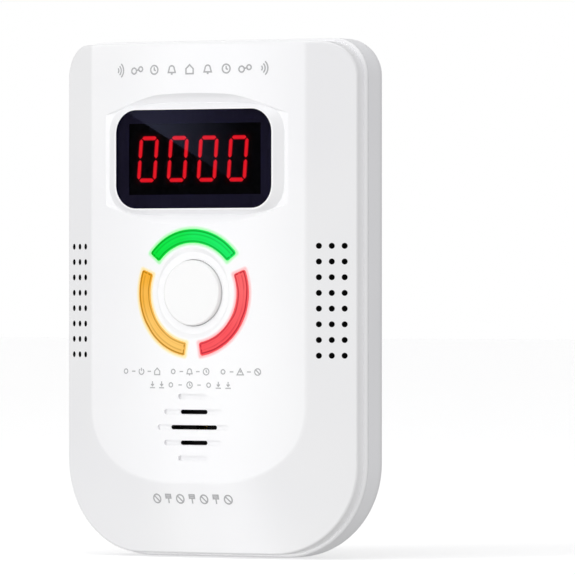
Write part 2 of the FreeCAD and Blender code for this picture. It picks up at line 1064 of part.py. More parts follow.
def sensor_cap():
    inner = sensor_can_radius + sensor_fit
    outer = inner + sensor_cap_wall
    front = sensor_can_back - sensor_cap_overlap
    roof = sensor_can_back + sensor_filter_thickness
    cup = disc(sensor_x, sensor_height, outer, front, sensor_cap_back)
    room = disc(sensor_x, sensor_height, inner, front - past, roof)
    port = disc(sensor_x, sensor_height, sensor_port_radius, roof - past, roof + 2 * past)
    return cup.cut(room.fuse(port))


def transformer_core():
    size = (transformer_wide, transformer_tall)
    front = board_back + solder_gap + (winding_thick - core_thick) / 2
    core = centred_block(transformer_x, transformer_height, size, front, front + core_thick)
    room_width = transformer_wide - 2 * core_leg
    room_tall = transformer_tall - 2 * core_leg
    limb = core_leg * centre_limb_ratio
    side_room = (room_width - limb) / 2
    cuts = []
    for side in (-1, 1):
        x = transformer_x + side * (limb + side_room) / 2
        cuts.append(
            centred_block(
                x,
                transformer_height,
                (side_room, room_tall),
                front - past,
                front + core_thick + past,
            )
        )
    return without(core, cuts)


def transformer_winding():
    limb = core_leg * centre_limb_ratio
    gap = winding_clearance
    front = board_back + solder_gap
    back = front + winding_thick
    wide = transformer_wide - 2 * core_leg - 2 * gap
    tall = transformer_tall - 2 * core_leg - 2 * gap
    coil = centred_block(transformer_x, transformer_height, (wide, tall), front, back)
    core_front = front + (winding_thick - core_thick) / 2
    hole = centred_block(
        transformer_x,
        transformer_height,
        (limb + 2 * gap, tall + past),
        core_front - gap,
        core_front + core_thick + gap,
    )
    return coil.cut(hole)


def storage_capacitors():
    cans = []
    front = board_back + solder_gap
    for height in capacitor_heights:
        can = disc(capacitor_x, height, capacitor_radius, front, front + tall_part_room)
        rims = edges_where(can, lambda edge, middle: not is_along_depth(edge, middle))
        cans.append(can.makeFillet(capacitor_edge_radius, rims))
    return Part.makeCompound(cans)


def fuse_tube():
    depth = board_back + solder_gap + fuse_radius + fuse_cap_wall
    base = place(fuse_x, depth, fuse_height - fuse_length / 2)
    return Part.makeCylinder(fuse_radius, fuse_length, base, Vector(0, 0, 1))


def fuse_caps():
    depth = board_back + solder_gap + fuse_radius + fuse_cap_wall
    caps = []
    for side in (-1, 1):
        end = fuse_height + side * (fuse_length / 2 + fuse_cap_wall)
        inward = Vector(0, 0, -side)
        cup = Part.makeCylinder(
            fuse_radius + fuse_cap_wall, fuse_cap_length, place(fuse_x, depth, end), inward
        )
        caps.append(cup.cut(fuse_tube()))
    return Part.makeCompound(caps)


def varistor():
    depth = board_back + solder_gap + varistor_radius
    base = place(varistor_x, depth, varistor_height - varistor_thickness / 2)
    solid = Part.makeCylinder(varistor_radius, varistor_thickness, base, Vector(0, 0, 1))
    rims = [edge for edge in solid.Edges if edge.Closed]
    return solid.makeFillet(varistor_edge_radius, rims)


def controller_leads():
    solids = []
    front = board_back
    back = front + controller_lead_thickness
    reach = controller_side / 2 + controller_lead_length / 2
    for index in range(controller_leads_per_side):
        offset = (index - (controller_leads_per_side - 1) / 2) * controller_lead_pitch
        for side in (-1, 1):
            size = (controller_lead_width, controller_lead_length)
            x = controller_x + offset
            height = controller_height + side * reach
            solids.append(centred_block(x, height, size, front, back))
            size = (controller_lead_length, controller_lead_width)
            x = controller_x + side * reach
            height = controller_height + offset
            solids.append(centred_block(x, height, size, front, back))
    return Part.makeCompound(solids)


def chip_resistors():
    chips = []
    for index in range(chip_count):
        x = chip_x + index * chip_pitch
        chips.append(
            centred_block(x, chip_height, chip_size, board_back, board_back + chip_size[2])
        )
    return Part.makeCompound(chips)


def blade_slots(clearance, front, back):
    slots = []
    for side in (-1, 1):
        size = (blade_thickness + 2 * clearance, blade_width + 2 * clearance)
        x = side * blade_spacing / 2
        slots.append(centred_block(x, plug_above_middle, size, front, back))
    return slots


def plug_base():
    body = rounded_prism(plug_outline(0), plug_base_front, origin_depth)
    flange = rounded_prism(
        plug_outline(plug_flange_width), cavity_back - plug_flange_thickness, cavity_back
    )
    return without(
        body.fuse(flange),
        blade_slots(blade_slot_clearance, plug_base_front - past, origin_depth + past),
    )


def blade(side):
    tip = origin_depth + blade_length
    x = side * blade_spacing / 2
    size = (blade_thickness, blade_width)
    solid = centred_block(x, plug_above_middle, size, blade_tail_depth, tip)
    tip_edges = edges_where(solid, lambda edge, middle: depth_of(middle) > tip - near_enough)
    solid = solid.makeChamfer(blade_tip_chamfer, tip_edges)
    start = place(x - blade_thickness, tip - blade_hole_from_tip, plug_above_middle)
    hole = Part.makeCylinder(blade_hole_radius, 2 * blade_thickness, start, Vector(1, 0, 0))
    return solid.cut(hole)


def blade_contacts():
    # Two spring clips on the board that grip the tails of the blades.
    clips = []
    for side in (-1, 1):
        x = side * blade_spacing / 2
        inner = blade_thickness / 2 + blade_slot_clearance
        outer = inner + contact_thickness
        low = plug_above_middle - blade_width / 2
        high = plug_above_middle + blade_width / 2
        back = board_back + contact_thickness
        foot = block((x - contact_foot, x + contact_foot), (board_back, back), (low, high))
        left = block((x - outer, x - inner), (board_back, contact_reach), (low, high))
        right = block((x + inner, x + outer), (board_back, contact_reach), (low, high))
        clips.append(foot.fuse(left).fuse(right).removeSplitter())
    return Part.makeCompound(clips)


def vent_screens():
    # Thin sheets that follow the inside of the wings, behind the vents.
    layer = front_form(wall + screen_side_gap, wall + screen_gap, brim_front)
    layer = layer.cut(front_form(0, wall + screen_gap + screen_thickness, brim_front + past))
    inner_x = face_half_width - vent_edge_inset - (vent_columns - 1) * vent_column_pitch
    half_tall = (vent_rows - 1) / 2 * vent_row_pitch + screen_margin
    sheets = []
    for side in (-1, 1):
        ends = sorted((side * (inner_x - screen_margin), side * face_half_width))
        heights = (vent_middle_height - half_tall, vent_middle_height + half_tall)
        sheets.append(layer.common(block(ends, (0.0, brim_front), heights)))
    return Part.makeCompound(sheets)


def build_nodes():
    screws = []
    for x, height in case_screw_places():
        screws.append(
            screw(
                x,
                height,
                case_screw_radius,
                case_screw_head_radius,
                case_screw_head_thickness,
                case_screw_seat,
                case_screw_tip,
            )
        )
    small_screws = []
    for x, height in board_screw_places():
        small_screws.append(
            screw(
                x,
                height,
                board_screw_radius,
                board_screw_head_radius,
                board_screw_head_thickness,
                board_back,
                board_back - board_screw_length,
            )
        )
    pins = []
    for x, height in pin_places():
        size = (2 * pin_half_side, 2 * pin_half_side)
        pins.append(centred_block(x, height, size, board_front, board_back + pin_tail))
    window_mask = rounded_prism(window_outline(0), window_back, mask_back)
    clear_area = (window_width - 2 * mask_margin_x, window_tall - 2 * mask_margin_z)
    window_mask = window_mask.cut(
        centred_block(0, display_height, clear_area, window_back - past, mask_back + past)
    )
    filter_back = sensor_can_back + sensor_filter_thickness
    filter_radius = sensor_can_radius - sensor_fit
    return {
        "front_cover": front_cover(),
        "rear_cover": rear_cover(),
        "display_window": rounded_prism(window_outline(0), window_front, window_back),
        "window_mask": window_mask,
        "display_body": display_body(),
        "digit_segments": Part.makeCompound(digit_bars(False)),
        "middle_segments": Part.makeCompound(digit_bars(True)),
        "display_pins": Part.makeCompound(pins),
        "green_light_pipe": light_pipe(green_angle),
        "amber_light_pipe": light_pipe(amber_angle),
        "red_light_pipe": light_pipe(red_angle),
        "light_baffle": light_baffle(),
        "green_leds": lamps(green_angle),
        "amber_leds": lamps(amber_angle),
        "red_leds": lamps(red_angle),
        "test_button": test_button(),
        "button_spring": button_spring(),
        "switch_body": switch_body(),
        "switch_plunger": switch_plunger(),
        "main_board": main_board(),
        "board_screws": Part.makeCompound(small_screws),
        "case_screws": Part.makeCompound(screws),
        "sounder_cup": sounder_cup(),
        "sounder_lid": sounder_lid(),
        "sounder_gasket": ring(
            0,
            sounder_height,
            gasket_inner_radius,
            gasket_outer_radius,
            gasket_front,
            sounder_front,
        ),
        "piezo_disc": disc(
            0,
            sounder_height,
            piezo_disc_radius,
            piezo_plane - piezo_disc_thickness,
            piezo_plane,
        ),
        "piezo_ceramic": disc(
            0,
            sounder_height,
            piezo_ceramic_radius,
            piezo_plane,
            piezo_plane + piezo_ceramic_thickness,
        ),
        "co_sensor_can": disc(
            sensor_x,
            sensor_height,
            sensor_can_radius,
            board_back + sensor_stand,
            sensor_can_back,
        ),
        "co_sensor_cap": sensor_cap(),
        "co_sensor_filter": disc(
            sensor_x, sensor_height, filter_radius, sensor_can_back, filter_back
        ),
        "transformer_core": transformer_core(),
        "transformer_winding": transformer_winding(),
        "storage_capacitors": storage_capacitors(),
        "safety_capacitor": centred_block(
            safety_capacitor_x,
            safety_capacitor_height,
            safety_capacitor_size,
            board_back + solder_gap,
            board_back + solder_gap + tall_part_room,
        ),
        "fuse_tube": fuse_tube(),
        "fuse_caps": fuse_caps(),
        "varistor": varistor(),
        "bridge_rectifier": centred_block(
            rectifier_x,
            rectifier_height,
            rectifier_size,
            board_back,
            board_back + rectifier_size[2],
        ),
        "microcontroller": centred_block(
            controller_x,
            controller_height,
            (controller_side, controller_side),
            board_back,
            board_back + controller_thickness,
        ),
        "microcontroller_leads": controller_leads(),
        "crystal": centred_block(
            crystal_x,
            crystal_height,
            (crystal_wide, crystal_long),
            board_back,
            board_back + crystal_thickness,
        ),
        "chip_resistors": chip_resistors(),
        "plug_base": plug_base(),
        "left_blade": blade(-1),
        "right_blade": blade(1),
        "blade_contacts": blade_contacts(),
        "vent_screens": vent_screens(),
        "rating_label": rounded_prism(
            rectangle(0, label_height, label_width, label_tall, label_corner_radius),
            body_depth - label_recess,
            body_depth - label_recess + label_thickness,
        ),
    }


def main():
    os.makedirs("parts", exist_ok=True)
    for name, shape in build_nodes().items():
        shape.exportStep("parts/" + name + ".step")
        solids = len(shape.Solids)
        print(f"{name}: {solids} solids, {shape.Volume:.1f} mm3, valid {shape.isValid()}")


main()
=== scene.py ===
import json
import math

import bmesh
import bpy
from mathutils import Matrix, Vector
from mathutils.bvhtree import BVHTree

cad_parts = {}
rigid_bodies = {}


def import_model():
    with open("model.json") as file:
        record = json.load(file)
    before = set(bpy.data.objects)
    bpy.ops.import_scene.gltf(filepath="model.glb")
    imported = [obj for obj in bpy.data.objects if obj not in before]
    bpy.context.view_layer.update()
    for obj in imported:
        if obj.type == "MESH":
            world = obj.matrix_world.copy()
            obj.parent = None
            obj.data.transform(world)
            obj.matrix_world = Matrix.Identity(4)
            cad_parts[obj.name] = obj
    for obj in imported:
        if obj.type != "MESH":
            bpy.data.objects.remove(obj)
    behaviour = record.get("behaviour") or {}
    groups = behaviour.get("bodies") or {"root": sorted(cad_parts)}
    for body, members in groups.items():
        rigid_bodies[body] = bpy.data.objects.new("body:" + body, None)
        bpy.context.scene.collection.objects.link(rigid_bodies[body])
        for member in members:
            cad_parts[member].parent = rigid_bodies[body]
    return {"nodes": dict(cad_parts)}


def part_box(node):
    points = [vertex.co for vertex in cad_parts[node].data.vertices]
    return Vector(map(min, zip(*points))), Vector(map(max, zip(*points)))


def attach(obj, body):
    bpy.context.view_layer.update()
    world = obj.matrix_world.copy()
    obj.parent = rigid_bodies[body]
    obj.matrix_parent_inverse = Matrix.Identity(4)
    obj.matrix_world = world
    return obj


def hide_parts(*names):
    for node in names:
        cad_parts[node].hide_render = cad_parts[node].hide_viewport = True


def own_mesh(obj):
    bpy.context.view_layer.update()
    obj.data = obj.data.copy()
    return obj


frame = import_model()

for leftover in [o for o in bpy.data.objects if o.name in ("Cube", "Light", "Camera")]:
    bpy.data.objects.remove(leftover)
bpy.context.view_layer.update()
nodes = frame["nodes"]
mm = 0.001


# places read off the frame

def middleOf(name):
    low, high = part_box(name)
    return (low + high) / 2


shellLow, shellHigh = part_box("rear_cover")
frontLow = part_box("front_cover")[0]
bodyMiddle = (shellLow + shellHigh) / 2
buttonMiddle = middleOf("test_button")
windowMiddle = middleOf("display_window")
digitsMiddle = middleOf("digit_segments")
sounderMiddle = middleOf("sounder_lid")


# shader arithmetic

class Shade:
    # a socket of a node tree; sums written on it become Math nodes
    def __init__(self, tree, link=None):
        self.tree = tree
        self.link = link

    def node(self, kind, settings=None, ports=None, out=0):
        made = self.tree.nodes.new("ShaderNode" + kind)
        for name, value in (settings or {}).items():
            setattr(made, name, value)
        for port, value in (ports or {}).items():
            if isinstance(value, Shade):
                self.tree.links.new(value.link, made.inputs[port])
            else:
                made.inputs[port].default_value = value
        return Shade(self.tree, made.outputs[out])

    def maths(self, operation, *values):
        return self.node("Math", {"operation": operation}, dict(enumerate(values)))

    def __add__(self, other):
        return self.maths("ADD", self, other)

    def __radd__(self, other):
        return self.maths("ADD", other, self)

    def __sub__(self, other):
        return self.maths("SUBTRACT", self, other)

    def __rsub__(self, other):
        return self.maths("SUBTRACT", other, self)

    def __mul__(self, other):
        return self.maths("MULTIPLY", self, other)

    def __rmul__(self, other):
        return self.maths("MULTIPLY", other, self)

    def __truediv__(self, other):
        return self.maths("DIVIDE", self, other)

    def __gt__(self, other):
        return self.maths("GREATER_THAN", self, other)

    def __lt__(self, other):
        return self.maths("LESS_THAN", self, other)

    def __abs__(self):
        return self.maths("ABSOLUTE", self)

    def above(self, other):
        return self.maths("MAXIMUM", self, other)

    def below(self, other):
        return self.maths("MINIMUM", self, other)

    def clamped(self):
        return self.above(0.0).below(1.0)

    def hypot(self, other):
        return self.maths("SQRT", self * self + other * other)

    def fade(self, reach):
        # 1 at zero or less, falling away over reach
        return self.maths("EXPONENT", self.above(0.0) * (-1.0 / reach))

    def step(self, start, end):
        return self.node(
            "MapRange",
            {"interpolation_type": "SMOOTHSTEP"},
            {"Value": self, "From Min": start, "From Max": end},
        )

    def chosen(self, whenOne, whenZero):
        # number picked by this mask
        return self * whenOne + (1.0 - self) * whenZero

    def coloured(self, whenZero, whenOne):
        # colour picked by this mask
        return self.node("Mix", {"data_type": "RGBA"}, {0: self, 6: whenZero, 7: whenOne}, 2)

    def dimmed(self, share):
        # this colour at a share of its strength
        settings = {"data_type": "RGBA", "blend_type": "MULTIPLY"}
        return self.node("Mix", settings, {0: 1.0, 6: self, 7: (share, share, share, 1.0)}, 2)


def rgb(red, green, blue):
    # display values 0 to 255 as linear light
    def linear(value):
        share = value / 255
        return share / 12.92 if share <= 0.04045 else ((share + 0.055) / 1.055) ** 2.4

    return (linear(red), linear(green), linear(blue), 1.0)


shaderWords = {
    "alpha": "Alpha",
    "baseColor": "Base Color",
    "coatRoughness": "Coat Roughness",
    "coatWeight": "Coat Weight",
    "emissionColor": "Emission Color",
    "emissionStrength": "Emission Strength",
    "ior": "IOR",
    "metallic": "Metallic",
    "normal": "Normal",
    "roughness": "Roughness",
    "specularLevel": "Specular IOR Level",
}


class Finish:
    # one material: its Object coordinates, and what reaches its shader
    def __init__(self, name):
        self.material = bpy.data.materials.new(name)
        self.material.use_nodes = True
        self.tree = self.material.node_tree
        self.tree.nodes.clear()
        self.start = Shade(self.tree)
        self.place = self.start.node("TexCoord", out="Object")
        apart = self.tree.nodes.new("ShaderNodeSeparateXYZ")
        self.tree.links.new(self.place.link, apart.inputs[0])
        self.x = Shade(self.tree, apart.outputs[0])
        self.y = Shade(self.tree, apart.outputs[1])
        self.z = Shade(self.tree, apart.outputs[2])

    def noise(self, perMetre, detail=3.0, roughness=0.5):
        ports = {"Vector": self.place, "Scale": perMetre, "Detail": detail, "Roughness": roughness}
        return self.start.node("TexNoise", None, ports)

    def streaks(self, centre, roundPerMetre, acrossPerMetre, radius):
        # noise drawn out along circles about a centre
        x = self.x - centre.x
        z = self.z - centre.z
        turned = x.maths("ARCTAN2", z) * (radius * roundPerMetre)
        place = self.start.node(
            "CombineXYZ", None, {"X": turned, "Y": x.hypot(z) * acrossPerMetre, "Z": 0.0}
        )
        return self.start.node("TexNoise", None, {"Vector": place, "Scale": 1.0, "Detail": 3.0})

    def grain(self, perMetre):
        return self.start.node(
            "TexVoronoi", None, {"Vector": self.place, "Scale": perMetre, "Randomness": 1.0}
        )

    def bump(self, height, depth, under=None):
        # height in 0..1 lifts the surface by depth metres
        ports = {"Height": height, "Distance": depth, "Strength": 1.0}
        if under is not None:
            ports["Normal"] = under
        return self.start.node("Bump", None, ports)

    def shader(self, **ports):
        # baseColor stands for the socket Base Color, and so on
        words = {shaderWords[key]: value for key, value in ports.items()}
        return self.start.node("BsdfPrincipled", None, words)

    def done(self, surface):
        end = self.tree.nodes.new("ShaderNodeOutputMaterial")
        self.tree.links.new(surface.link, end.inputs["Surface"])
        return self.material


def wear(material, *names):
    # puts a material on CAD nodes
    for name in names:
        nodes[name].material_slots[0].material = material


# moulded plastics

print("stage: plastics")

ringSettings = {
    "outer": 14.7 * mm,
    "inner": 11.65 * mm,
    "halfSpan": math.radians(51.5),
    "angles": {"green": 90.0, "amber": 210.0, "red": 330.0},
}
ringMiddle = (ringSettings["outer"] + ringSettings["inner"]) / 2
ringHalf = (ringSettings["outer"] - ringSettings["inner"]) / 2


def arcDistance(finish, angle):
    # signed distance, in metres, from a status light's outline
    turn = math.radians(angle)
    x = finish.x - buttonMiddle.x
    z = finish.z - buttonMiddle.z
    along = x * math.cos(turn) + z * math.sin(turn)
    across = abs(z * math.cos(turn) - x * math.sin(turn))
    reach = ringSettings["halfSpan"]
    past = (across * math.cos(reach) - along * math.sin(reach)) > 0.0
    endAlong = along - ringMiddle * math.cos(reach)
    endAcross = across - ringMiddle * math.sin(reach)
    # past the end, distance to the square end's outline
    endOut = endAcross * math.cos(reach) - endAlong * math.sin(reach)
    endSide = abs(endAcross * math.sin(reach) + endAlong * math.cos(reach)) - ringHalf
    beyond = endOut.above(0.0).hypot(endSide.above(0.0))
    beside = abs(along.hypot(across) - ringMiddle) - ringHalf
    return past.chosen(beyond, beside)


def endDistance(finish, angle):
    # distance inwards from a status light's nearer end
    turn = math.radians(angle)
    x = finish.x - buttonMiddle.x
    z = finish.z - buttonMiddle.z
    along = x * math.cos(turn) + z * math.sin(turn)
    across = abs(z * math.cos(turn) - x * math.sin(turn))
    reach = ringSettings["halfSpan"]
    return along * math.sin(reach) - across * math.cos(reach)


def mouldedPlastic(name, look):
    # spark-eroded ABS: fine grain, faint flow marks and a little colour drift
    finish = Finish(name)
    drift = finish.noise(look["driftPerMetre"], 2.0)
    flow = finish.noise(look["flowPerMetre"], 3.0, 0.6)
    speck = finish.grain(look["grainPerMetre"])
    colour = drift.step(0.3, 0.7).coloured(look["colour"], look["shadeColour"])
    grainBump = finish.bump(speck, look["grainDepth"])
    bump = finish.bump(flow, look["flowDepth"], grainBump)
    roughness = look["roughness"] + (flow - 0.5) * look["roughnessSpread"]
    return finish, colour, roughness, bump


coverLook = {
    "colour": rgb(250, 250, 251),
    "shadeColour": rgb(247, 247, 249),
    "driftPerMetre": 22.0,
    "flowPerMetre": 140.0,
    "grainPerMetre": 4200.0,
    "grainDepth": 0.004 * mm,
    "flowDepth": 0.012 * mm,
    "roughness": 0.31,
    "roughnessSpread": 0.1,
    "coatWeight": 0.08,
    "coatRoughness": 0.2,
    # painted shade colour for the vent holes, the slot walls and the window's seat
    "paintedShadeColour": rgb(14, 14, 15),
    # painted glow: the status lights' light, painted on the cover as tinted halos
    "paintedHaloNear": 0.25 * mm,
    "paintedHaloFar": 0.95 * mm,
    "paintedHaloShare": 0.8,
    "paintedHaloTints": {
        "green": rgb(158, 250, 168),
        "amber": rgb(255, 232, 150),
        "red": rgb(255, 178, 180),
    },
}


ventSettings = {
    "faceInset": 0.85 * mm,
    "edgeInset": 2.45 * mm,
    "wingDrop": 8.5 * mm,
    "wingWidth": 13.9 * mm,
    "columnPitch": 2.525 * mm,
    "rowPitch": 3.6 * mm,
    "columns": 3,
    "rows": 8,
    "radius": 0.66 * mm,
    "edgeNear": 0.01 * mm,
    "edgeFar": 0.05 * mm,
    "belowMiddle": 0.5 * mm,
}
grilleSettings = {
    "halfWide": 7.5 * mm,
    "halfTall": 4.8 * mm,
    "recessDepth": 0.9 * mm,
}
seatSettings = {
    "cornerRadius": 5.3 * mm,
    "reach": 0.16 * mm,
    "below": 0.4 * mm,
}


def nearestOf(value, pitch):
    # offset from the nearest of a row of places a pitch apart, one of them at zero
    return value.maths("WRAP", value + pitch / 2, pitch, 0.0) - pitch / 2


def paintedVentShade(finish):
    # mask of painted shade on the walls inside the vent holes, which go square through the wings
    settings = ventSettings
    slope = math.atan2(settings["wingDrop"], settings["wingWidth"])
    middleX = shellHigh.x - settings["faceInset"] - settings["edgeInset"] - settings["columnPitch"]
    inwards = middleX - (shellHigh.x - settings["faceInset"])
    middleDepth = settings["wingDrop"] + inwards * math.tan(slope)
    middleRun = middleX * math.cos(slope) + middleDepth * math.sin(slope)
    depth = finish.y - frontLow.y
    across = abs(finish.x) * math.cos(slope) + depth * math.sin(slope) - middleRun
    up = finish.z - (bodyMiddle.z - settings["belowMiddle"])
    halfRow = settings["rowPitch"] / 2
    pitch = settings["columnPitch"] / math.cos(slope)
    hole = nearestOf(across, pitch).hypot(nearestOf(up + halfRow, halfRow * 2))
    inside = hole.step(
        settings["radius"] + settings["edgeFar"], settings["radius"] + settings["edgeNear"]
    )
    columns = abs(across) < pitch * settings["columns"] / 2
    rows = abs(up) < settings["rowPitch"] * settings["rows"] / 2
    return inside * columns * rows


def paintedSeatShade(finish):
    # mask of the window's seat around the dark lens, painted dark as shade
    settings = seatSettings
    windowLow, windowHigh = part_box("display_window")
    corner = settings["cornerRadius"]
    overX = abs(finish.x - windowMiddle.x) - ((windowHigh.x - windowLow.x) / 2 - corner)
    overZ = abs(finish.z - windowMiddle.z) - ((windowHigh.z - windowLow.z) / 2 - corner)
    out = overX.above(0.0).hypot(overZ.above(0.0)) - corner
    return (out < settings["reach"]) * ((finish.y - frontLow.y) > settings["below"])


def paintedSlotShade(finish):
    # mask of painted shade on the walls of the sounder's slots, below their white recesses
    settings = grilleSettings
    deep = (finish.y - frontLow.y) > settings["recessDepth"]
    across = abs(finish.x) < settings["halfWide"]
    up = abs(finish.z - sounderMiddle.z) < settings["halfTall"]
    return deep * across * up


def coverPlastic():
    finish, colour, roughness, bump = mouldedPlastic("coverPlastic", coverLook)
    # painted glow: each status light's light is painted into the cover's colour as a tinted halo around its
    # arc
    for name, angle in ringSettings["angles"].items():
        gap = arcDistance(finish, angle)
        paintedHalo = gap.step(coverLook["paintedHaloFar"], coverLook["paintedHaloNear"]) * coverLook["paintedHaloShare"]
        colour = paintedHalo.coloured(colour, coverLook["paintedHaloTints"][name])
    # painted shade: the insides of the vents, the slot walls and the window's seat are painted near-black
    paintedShade = (paintedVentShade(finish) + paintedSlotShade(finish) + paintedSeatShade(finish)).clamped()
    colour = paintedShade.coloured(colour, coverLook["paintedShadeColour"])
    return finish.done(
        finish.shader(
            baseColor=colour,
            roughness=roughness,
            normal=bump,
            ior=1.5,
            coatWeight=coverLook["coatWeight"],
            coatRoughness=coverLook["coatRoughness"],
        )
    )


rearLook = dict(coverLook)
rearLook.update(
    colour=rgb(246, 246, 248),
    shadeColour=rgb(242, 242, 245),
    grainDepth=0.01 * mm,
    grainPerMetre=3000.0,
    roughness=0.5,
)
buttonLook = dict(coverLook)
buttonLook.update(
    colour=rgb(247, 247, 247),
    shadeColour=rgb(247, 247, 247),
    grainDepth=0.002 * mm,
    flowDepth=0.003 * mm,
    roughnessSpread=0.03,
    roughness=0.28,
)
plugLook = dict(rearLook)
plugLook.update(colour=rgb(240, 240, 240), shadeColour=rgb(234, 234, 235), roughness=0.42)


def plainPlastic(name, look):
    finish, colour, roughness, bump = mouldedPlastic(name, look)
    return finish.done(
        finish.shader(baseColor=colour, roughness=roughness, normal=bump, ior=1.5)
    )


wear(coverPlastic(), "front_cover")
wear(plainPlastic("rearPlastic", rearLook), "rear_cover")
wear(plainPlastic("buttonPlastic", buttonLook), "test_button")
wear(plainPlastic("plugPlastic", plugLook), "plug_base")


# status lights

print("stage: status lights")

# the darker colour in each look paints shade just inside the pipe's edges, and a darker streak down its
# middle
pipeLooks = {
    "green": {
        "main": rgb(0, 230, 54),
        "bright": rgb(26, 240, 104),
        "line": rgb(0, 158, 36),
        "towards": (1.0, 0.1),
    },
    "amber": {
        "main": rgb(250, 176, 46),
        "bright": rgb(255, 203, 108),
        "line": rgb(176, 116, 10),
        "towards": (0.35, -1.0),
    },
    "red": {
        "main": rgb(252, 84, 92),
        "bright": rgb(255, 108, 110),
        "line": rgb(196, 38, 54),
        "towards": (0.1, 1.0),
    },
}
pipeSettings = {
    "lineInset": 0.3 * mm,
    "lineWander": 0.4 * mm,
    "lineHalfWidth": 0.26 * mm,
    "coreInset": 1.1 * mm,
    "lampTurn": math.radians(32.0),
    "lampReach": 2.6 * mm,
    "coreHalfWidth": 0.52 * mm,
    "coreShare": 0.5,
    "lineShare": 0.4,
    "streakShare": 0.6,
    "streaksRound": 190.0,
    "streaksAcross": 1500.0,
    "cloudPerMetre": 150.0,
    "cloudShare": 0.7,
    "lampShare": 0.18,
    "gradientReach": 11.0 * mm,
    "frostPerMetre": 2600.0,
    "frostDepth": 0.005 * mm,
    "glow": 0.9,
    "bodyShare": 0.08,
}


def lampSpots(finish, angle):
    # the three lamps behind a light pipe, as soft bright spots
    spots = None
    for step in (-1, 0, 1):
        turn = math.radians(angle) + step * pipeSettings["lampTurn"]
        x = finish.x - (buttonMiddle.x + ringMiddle * math.cos(turn))
        z = finish.z - (buttonMiddle.z + ringMiddle * math.sin(turn))
        spot = (x * x + z * z).fade(pipeSettings["lampReach"] ** 2)
        spots = spot if spots is None else spots + spot
    return spots.clamped()


def lightPipe(name, angle):
    look = pipeLooks[name]
    settings = pipeSettings
    finish = Finish(name + "LightPipe")
    inward = (0.0 - arcDistance(finish, angle)).below(endDistance(finish, angle))
    streaks = finish.streaks(
        buttonMiddle, settings["streaksRound"], settings["streaksAcross"], ringMiddle
    )
    cloud = finish.noise(settings["cloudPerMetre"], 2.0)
    # a slow change of colour along the arc, brighter over the lamps
    along = (finish.x - buttonMiddle.x) * look["towards"][0]
    along = along + (finish.z - buttonMiddle.z) * look["towards"][1]
    reach = settings["gradientReach"]
    share = (along.step(-reach, reach) + (cloud - 0.5) * settings["cloudShare"]).clamped()
    share = (share + lampSpots(finish, angle) * settings["lampShare"]).clamped()
    colour = share.coloured(look["main"], look["bright"])
    # painted shade: darker lines just inside the edges, and a darker streak down the middle, uneven as in
    # cast resin
    wander = (cloud.step(0.5, 0.75) * 0.5 + streaks - 0.5) * settings["lineWander"]
    offLine = abs(inward - settings["lineInset"] - wander)
    line = offLine.step(settings["lineHalfWidth"], settings["lineHalfWidth"] * 0.2)
    line = line * (settings["lineShare"] + streaks.step(0.4, 0.58) * settings["streakShare"])
    offCore = abs(inward - settings["coreInset"] - wander * 2.0)
    core = offCore.step(settings["coreHalfWidth"], 0.0) * streaks.step(0.48, 0.62)
    colour = (line + core * settings["coreShare"]).clamped().coloured(colour, look["line"])
    return finish.done(
        finish.shader(
            baseColor=colour.dimmed(settings["bodyShare"]),
            emissionColor=colour,
            emissionStrength=settings["glow"],
            roughness=0.3 + streaks * 0.12,
            normal=finish.bump(finish.noise(settings["frostPerMetre"], 2.0), settings["frostDepth"]),
            specularLevel=0.03,
        )
    )


for pipeName, pipeAngle in ringSettings["angles"].items():
    wear(lightPipe(pipeName, pipeAngle), pipeName + "_light_pipe")


# display

print("stage: display")

displaySettings = {
    "digitPitch": 8.05 * mm,
    "digitWide": 5.3 * mm,
    "digitTall": 10.8 * mm,
    "segmentWidth": 1.05 * mm,
    "mitreReach": 0.34 * mm,
    "mitreNear": 0.35,  # share of the reach that is fully dark
    "mitreShare": 0.85,
    "lean": math.tan(math.radians(4.5)),
    "litColour": rgb(240, 18, 34),
    "litCore": rgb(252, 36, 44),
    "litEdge": rgb(122, 4, 14),
    "mitreColour": rgb(92, 6, 16),
    "litBase": (0.05, 0.002, 0.003, 1.0),
    "litStrength": 1.02,
    "darkColour": rgb(14, 3, 5),
    "darkShade": rgb(13, 3, 4),
    "mottlePerMetre": 900.0,
    # painted red glow from the lit segments on the case
    "paintedSpillReach": 0.3 * mm,
    "paintedSpillShare": 0.01,
    "caseColour": rgb(2, 1, 3),
    "caseSpeck": rgb(10, 10, 12),
    "printColour": rgb(47, 44, 65),
    "printShade": rgb(43, 40, 60),
    "printSpeck": rgb(40, 37, 57),
    "printSpeckPerMetre": 5200.0,
    "printCloudPerMetre": 70.0,
    "lensTint": (0.93, 0.93, 0.95, 1.0),
    "lensSkin": (0.55, 0.6, 1.0, 1.0),
    "lensIndex": 1.49,
}


def digitOffsets(finish):
    # how far outside the nearest nought's middle line, sideways and up
    settings = displaySettings
    z = finish.z - digitsMiddle.z
    x = finish.x - digitsMiddle.x - z * settings["lean"]
    # four digits, so the cells meet at zero
    cell = x.maths("WRAP", x, settings["digitPitch"], 0.0) - settings["digitPitch"] / 2
    halfWide = (settings["digitWide"] - settings["segmentWidth"]) / 2
    halfTall = (settings["digitTall"] - settings["segmentWidth"]) / 2
    return abs(cell) - halfWide, abs(z) - halfTall


def digitDistance(finish):
    # signed distance from the strokes of the nearest nought
    overX, overZ = digitOffsets(finish)
    outside = overX.above(0.0).hypot(overZ.above(0.0))
    inside = overX.above(overZ).below(0.0)
    return abs(outside + inside) - displaySettings["segmentWidth"] / 2


def segmentEnds(finish):
    # mask of the dark ends where two segments meet
    overX, overZ = digitOffsets(finish)
    reach = displaySettings["mitreReach"]
    near = reach * displaySettings["mitreNear"]
    corner = abs(overX - overZ).step(reach, near)
    middle = abs(finish.z - digitsMiddle.z).step(reach, near)
    return corner.above(middle)


